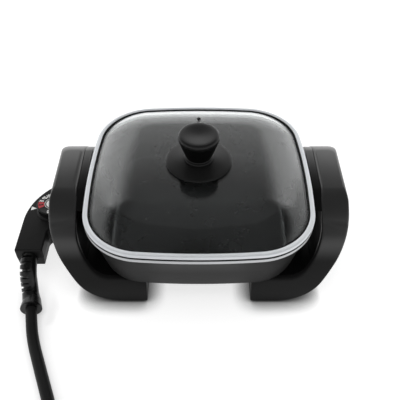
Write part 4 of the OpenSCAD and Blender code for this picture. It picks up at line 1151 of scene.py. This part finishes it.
dial = {"round": 0.0012, "grips": 60, "gripDeep": 0.0003, "perGrip": 6, "lip": 0.002, "lipHigh": 0.0014,
        "sunk": 0.0002, "numeralR": 0.0150, "numeralHigh": 0.0078, "narrow": 0.66, "bold": 0.045, "first": 167,
        "last": -90, "off": 191, "offHalf": 20, "offR": (0.0104, 0.0182), "print": 0.00012,
        "rings": ((0.0036, 0.0076), (0.0092, 0.0098))}
numerals = ["60", "80", "100", "120", "140", "160", "180", "200", "220", "240", "260"]
dialLow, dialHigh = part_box("dial")
dialX, dialY = (dialLow.x + dialHigh.x) / 2, (dialLow.y + dialHigh.y) / 2
dialR = (dialHigh.x - dialLow.x) / 2 - dial["lip"]


def dialPoint(r, a, z):
    return (dialX + r * cos(a), dialY + r * sin(a), z)


def makeDial():
    r, soft, low, top = dialR, dial["round"], dialLow.z, dialHigh.z
    lip, high, face = r + dial["lip"], low + dial["lipHigh"], top - dial["sunk"]
    profile = [(lip - 0.0003, low, 0), (lip, low + 0.0003, 0), (lip, high - 0.0004, 0), (lip - 0.0004, high, 0),
               (r + 0.0003, high + 0.0006, 0), (r, high + 0.0010, 1), (r, top - soft - 0.0006, 1)]
    profile += [(x, z, 0) for x, z in arcPoints(r - soft, top - soft, soft, 0, 90, 6)]
    profile += [(r - 0.0018, face, 0), (0.0034, face, 0), (0.0030, face - 0.0005, 0)]
    steps = dial["grips"] * dial["perGrip"]
    angles = [tau * k / steps for k in range(steps)]
    bumps = [dial["gripDeep"] * (0.5 - 0.5 * cos(a * dial["grips"])) for a in angles]
    rings = [[dialPoint(radius - bump * gripped, a, z) for a, bump in zip(angles, bumps)]
             for radius, z, gripped in profile]
    loftPiece("dialDisc", "dial", rings, "dial")


def ringMesh(r0, r1, z0, z1, start=0, end=360, steps=72, finish="white"):
    whole = end - start == 360
    angles = [radians(start + (end - start) * k / steps) for k in range(steps if whole else steps + 1)]
    rings = [[dialPoint(r, a, z) for r, z in ((r0, z0), (r1, z0), (r1, z1), (r0, z1))] for a in angles]
    return loftMesh("printedRing", rings, finish, joined=whole)


def numeralMesh(text, angle, r, z, finish):
    size, a = dial["numeralHigh"], radians(angle)
    data = bpy.data.curves.new("numeral", "FONT")
    data.body, data.size = text, size
    data.align_x, data.align_y = "CENTER", "CENTER"
    data.extrude, data.offset = dial["print"] / 2, size * dial["bold"]
    mesh = evaluated("numeral", newObject("numeral", data))
    bpy.data.curves.remove(data)
    turn = Matrix.Rotation(a - pi / 2, 4, "Z")
    mesh.transform(Matrix.Translation(dialPoint(r, a, z)) @ turn @ Matrix.Scale(dial["narrow"], 4, (1, 0, 0)))
    mesh.materials.clear()
    mesh.materials.append(finishes[finish])
    return mesh


def joinMeshes(name, meshes):
    joined = bpy.data.meshes.new(name)
    joined.materials.append(meshes[0].materials[0])

    def change(work):
        for mesh in meshes:
            work.from_mesh(mesh)
        for face in work.faces:
            face.material_index = 0

    return tidyMesh(reworked(joined, change))


def makeMarks():
    face = dialHigh.z - dial["sunk"]
    z0, z1, off, spread = face - hair, face + dial["print"], dial["off"], dial["offHalf"]
    marks = [ringMesh(r0, r1, z0, z1) for r0, r1 in dial["rings"]]
    step = (dial["last"] - dial["first"]) / (len(numerals) - 1)
    marks += [numeralMesh(text, dial["first"] + step * k, dial["numeralR"], face, "white")
              for k, text in enumerate(numerals)]
    newPiece("dialMarks", "dial", joinMeshes("dialMarks", marks), False)
    newPiece("dialOffMark", "dial", ringMesh(*dial["offR"], z0, z1, off - spread, off + spread, 16, "red"), False)
    newPiece("dialZero", "dial", tidyMesh(numeralMesh("0", off, sum(dial["offR"]) / 2, z1, "dial")), False)


makeHousing()
makePointer()
makeDial()
makeMarks()
print("control made")


# Screws and feet that repeat

screws = {  # node, head width, head height and shaft width
    "legScrews": ("leg_screws", 0.0076, 0.0028, 0.004), "guardScrews": ("guard_screws", 0.0054, 0.0018, 0.003),
    "controlScrews": ("control_screws", 0.0056, 0.002, 0.003), "knobScrew": ("knob_screw", 0.008, 0.0026, 0.004),
}
cross = {"half": 0.16, "reach": 0.62, "deep": 0.55}  # shares of the head's radius and height
crossBroken = 0.00008
foot = {"stemR": 0.003, "hollow": (0.55, 0.62), "rise": 0.0003}


def makeScrews(name, node, headD, headH, shaftD):
    boxes = islandBoxes(node)
    length = boxes[0][1].z - boxes[0][0].z
    r, s = headD / 2, shaftD / 2
    profile = [(0.0002, 0.00012), (r * 0.5, 0.00005), (r * 0.85, headH * 0.16), (r, headH * 0.5), (r, headH),
               (s, headH), (s, length - s * 0.6), (s * 0.5, length)]
    blank = loftMesh("screwBlank", latheRings(profile, steps=40), "plated")
    a, b = r * cross["half"], r * cross["reach"]
    arm = [(a, a), (a, b), (-a, b)]
    quarters = ((1, 0), (0, 1), (-1, 0), (0, -1))
    flat = [(u * x - v * y, u * y + v * x) for x, y in quarters for u, v in arm]
    slot = loftMesh("cross", [[(*p, z) for p in flat] for z in (-0.001, headH * cross["deep"])], "plated")
    repeatPiece(name, node, cutMesh("screw", blank, slot, crossBroken), boxes, 2, "plated")


def makeFeet():
    boxes = islandBoxes("rubber_feet")
    low, high = boxes[0]
    r, pad, tall, stem, e = (high.x - low.x) / 2, wingLow.z, high.z - low.z, foot["stemR"], foot["rise"]
    profile = [(r * foot["hollow"][0], e), (r * foot["hollow"][1], 0), (r - 0.0008, 0), (r - 0.0002, e), (r, 0.0010),
               (r, pad), (stem, pad), (stem, tall - 0.0004), (stem - 0.0004, tall)]
    template = loftMesh("pad", latheRings(profile, steps=48), "foot")
    repeatPiece("rubberFeet", "rubber_feet", template, boxes, 2, "foot")


for name, sizes in screws.items():
    makeScrews(name, *sizes)
makeFeet()
print("screws and feet made")


# Pieces below the pan and inside the control keep the shape of their solids

plainSkins = {
    "heating_element": ("sheath", 0), "terminal_pins": ("plated", 0.0004), "pin_insulators": ("ceramic", 0.0003),
    "terminal_guard": ("hidden", 0.0006), "heat_spacers": ("ceramic", 0.0003), "control_nose": ("hidden", 0.0006),
    "contact_sleeves": ("brass", 0.0002), "sensor_probe": ("plated", 0), "thermostat_frame": ("plated", 0.0002),
    "bimetal_blade": ("brass", 0.0001), "contact_blade": ("brass", 0.0001), "lead_wires": ("wire", 0),
    "cord_tail": ("cord", 0.0004), "cord_clamp": ("hidden", 0.0004), "dial_shaft": ("plated", 0.0003),
    "dial_cam": ("cam", 0.0003), "knob_washer": ("plated", 0.0002), "knob_gasket": ("seal", 0.0002),
}
for node, (finish, bevel) in plainSkins.items():
    copyNode(node, finish, bevel)
print("inner pieces dressed")


# Floor, backdrop and light

studio = {"floor": 4.0, "floorPale": 0.52, "floorGlow": 0.70, "backdrop": 1.0, "low": 1.6, "sky": 0.2,
          "fadeFrom": 0.51, "fadeTo": 0.735, "side": 0.55, "sideFrom": 0.66, "sideTo": 0.76, "aimHigh": 0.08,
          "contact": 0.024, "contactDeep": 2.7, "contactFaint": 0.4, "underTo": 0.165, "outFrom": 0.19,
          "extraY": 0.04}
lamps = {
    "top": {"at": (0.0, -0.3, 2.4), "size": 2.0, "power": 27.0},
    "left": {"at": (-1.0, -0.9, 1.5), "size": 1.2, "power": 1.2},
    "right": {"at": (1.0, -0.9, 1.5), "size": 1.2, "power": 2.4},
}


def makeFloor():
    s = studio["floor"]
    mesh = bpy.data.meshes.new("floor")
    mesh.from_pydata([(-s, -s, 0), (s, -s, 0), (s, s, 0), (-s, s, 0)], [], [(0, 1, 2, 3)])
    material, tree, shader = newMaterial("paleFloor")
    setSockets(shader, {"Roughness": 0.9, "Specular IOR Level": 0.0})
    # contact shade, deep below the object and faint round it
    near = addNode(tree, "ShaderNodeAmbientOcclusion", {"Distance": studio["contact"]})
    place = placeIn(tree, "Object")
    wide = calc(tree, "ABSOLUTE", calc(tree, "SUBTRACT", place["X"], panX))
    deep = calc(tree, "ADD", calc(tree, "ABSOLUTE", place["Y"]), studio["extraY"])
    power = ramp(tree, calc(tree, "MAXIMUM", wide, deep), studio["underTo"], studio["outFrom"],
                 studio["contactDeep"], studio["contactFaint"], "LINEAR")
    clear = calc(tree, "POWER", near.outputs["AO"], power)
    tree.links.new(calc(tree, "MULTIPLY", clear, studio["floorPale"]), shader.inputs["Base Color"])
    # pale where it is seen, directly or in metal and glass
    path = addNode(tree, "ShaderNodeLightPath").outputs
    seen = calc(tree, "MAXIMUM", path["Is Camera Ray"], path["Is Glossy Ray"])
    seen = calc(tree, "MAXIMUM", seen, path["Is Transmission Ray"])
    bright = calc(tree, "MULTIPLY", clear, studio["floorGlow"])
    glow = outOf(tree, "ShaderNodeEmission", {"Color": grey(1), "Strength": bright})
    none = outOf(tree, "ShaderNodeEmission", {"Color": grey(0), "Strength": 0.0})
    chosen = outOf(tree, "ShaderNodeMixShader", {0: seen, 1: none, 2: glow})
    both = outOf(tree, "ShaderNodeAddShader", {0: shader.outputs[0], 1: chosen})
    tree.links.new(both, tree.nodes["Material Output"].inputs["Surface"])
    mesh.materials.append(material)
    newObject("floor", mesh)


def makeWorld():
    # bright low down, brightest behind the object, and dim above it
    world = bpy.data.worlds.new("studio")
    world.use_nodes = True
    scene.world = world
    tree = world.node_tree
    parts = placeIn(tree, "Generated")
    level = ramp(tree, parts["Z"], studio["fadeFrom"], studio["fadeTo"], studio["low"], studio["sky"])
    flat = calc(tree, "SUBTRACT", 1.0001, calc(tree, "MULTIPLY", parts["Z"], parts["Z"]))  # never quite zero
    behind = calc(tree, "DIVIDE", parts["Y"], calc(tree, "POWER", flat, 0.5))
    share = ramp(tree, behind, studio["sideFrom"], studio["sideTo"], studio["side"])
    light = tree.nodes["Background"]
    setSockets(light, {"Color": grey(1)})
    tree.links.new(calc(tree, "MULTIPLY", level, share), light.inputs["Strength"])
    backdrop = outOf(tree, "ShaderNodeBackground", {"Color": grey(1), "Strength": studio["backdrop"]})
    seen = addNode(tree, "ShaderNodeLightPath").outputs["Is Camera Ray"]
    chosen = outOf(tree, "ShaderNodeMixShader", {0: seen, 1: light.outputs[0], 2: backdrop})
    tree.links.new(chosen, tree.nodes["World Output"].inputs["Surface"])


def makeLamps():
    aim = Vector((panX, 0, studio["aimHigh"]))
    for name, lamp in lamps.items():
        data = bpy.data.lights.new(name, "AREA")
        data.shape = "SQUARE"
        data.size = lamp["size"]
        data.energy = lamp["power"]
        source = newObject(name, data)
        source.location = lamp["at"]
        source.visible_glossy = False
        source.visible_transmission = False
        source.rotation_euler = (aim - Vector(lamp["at"])).to_track_quat("-Z", "Y").to_euler()


makeFloor()
makeWorld()
makeLamps()
scene.view_settings.view_transform = "Standard"
print("studio lit")
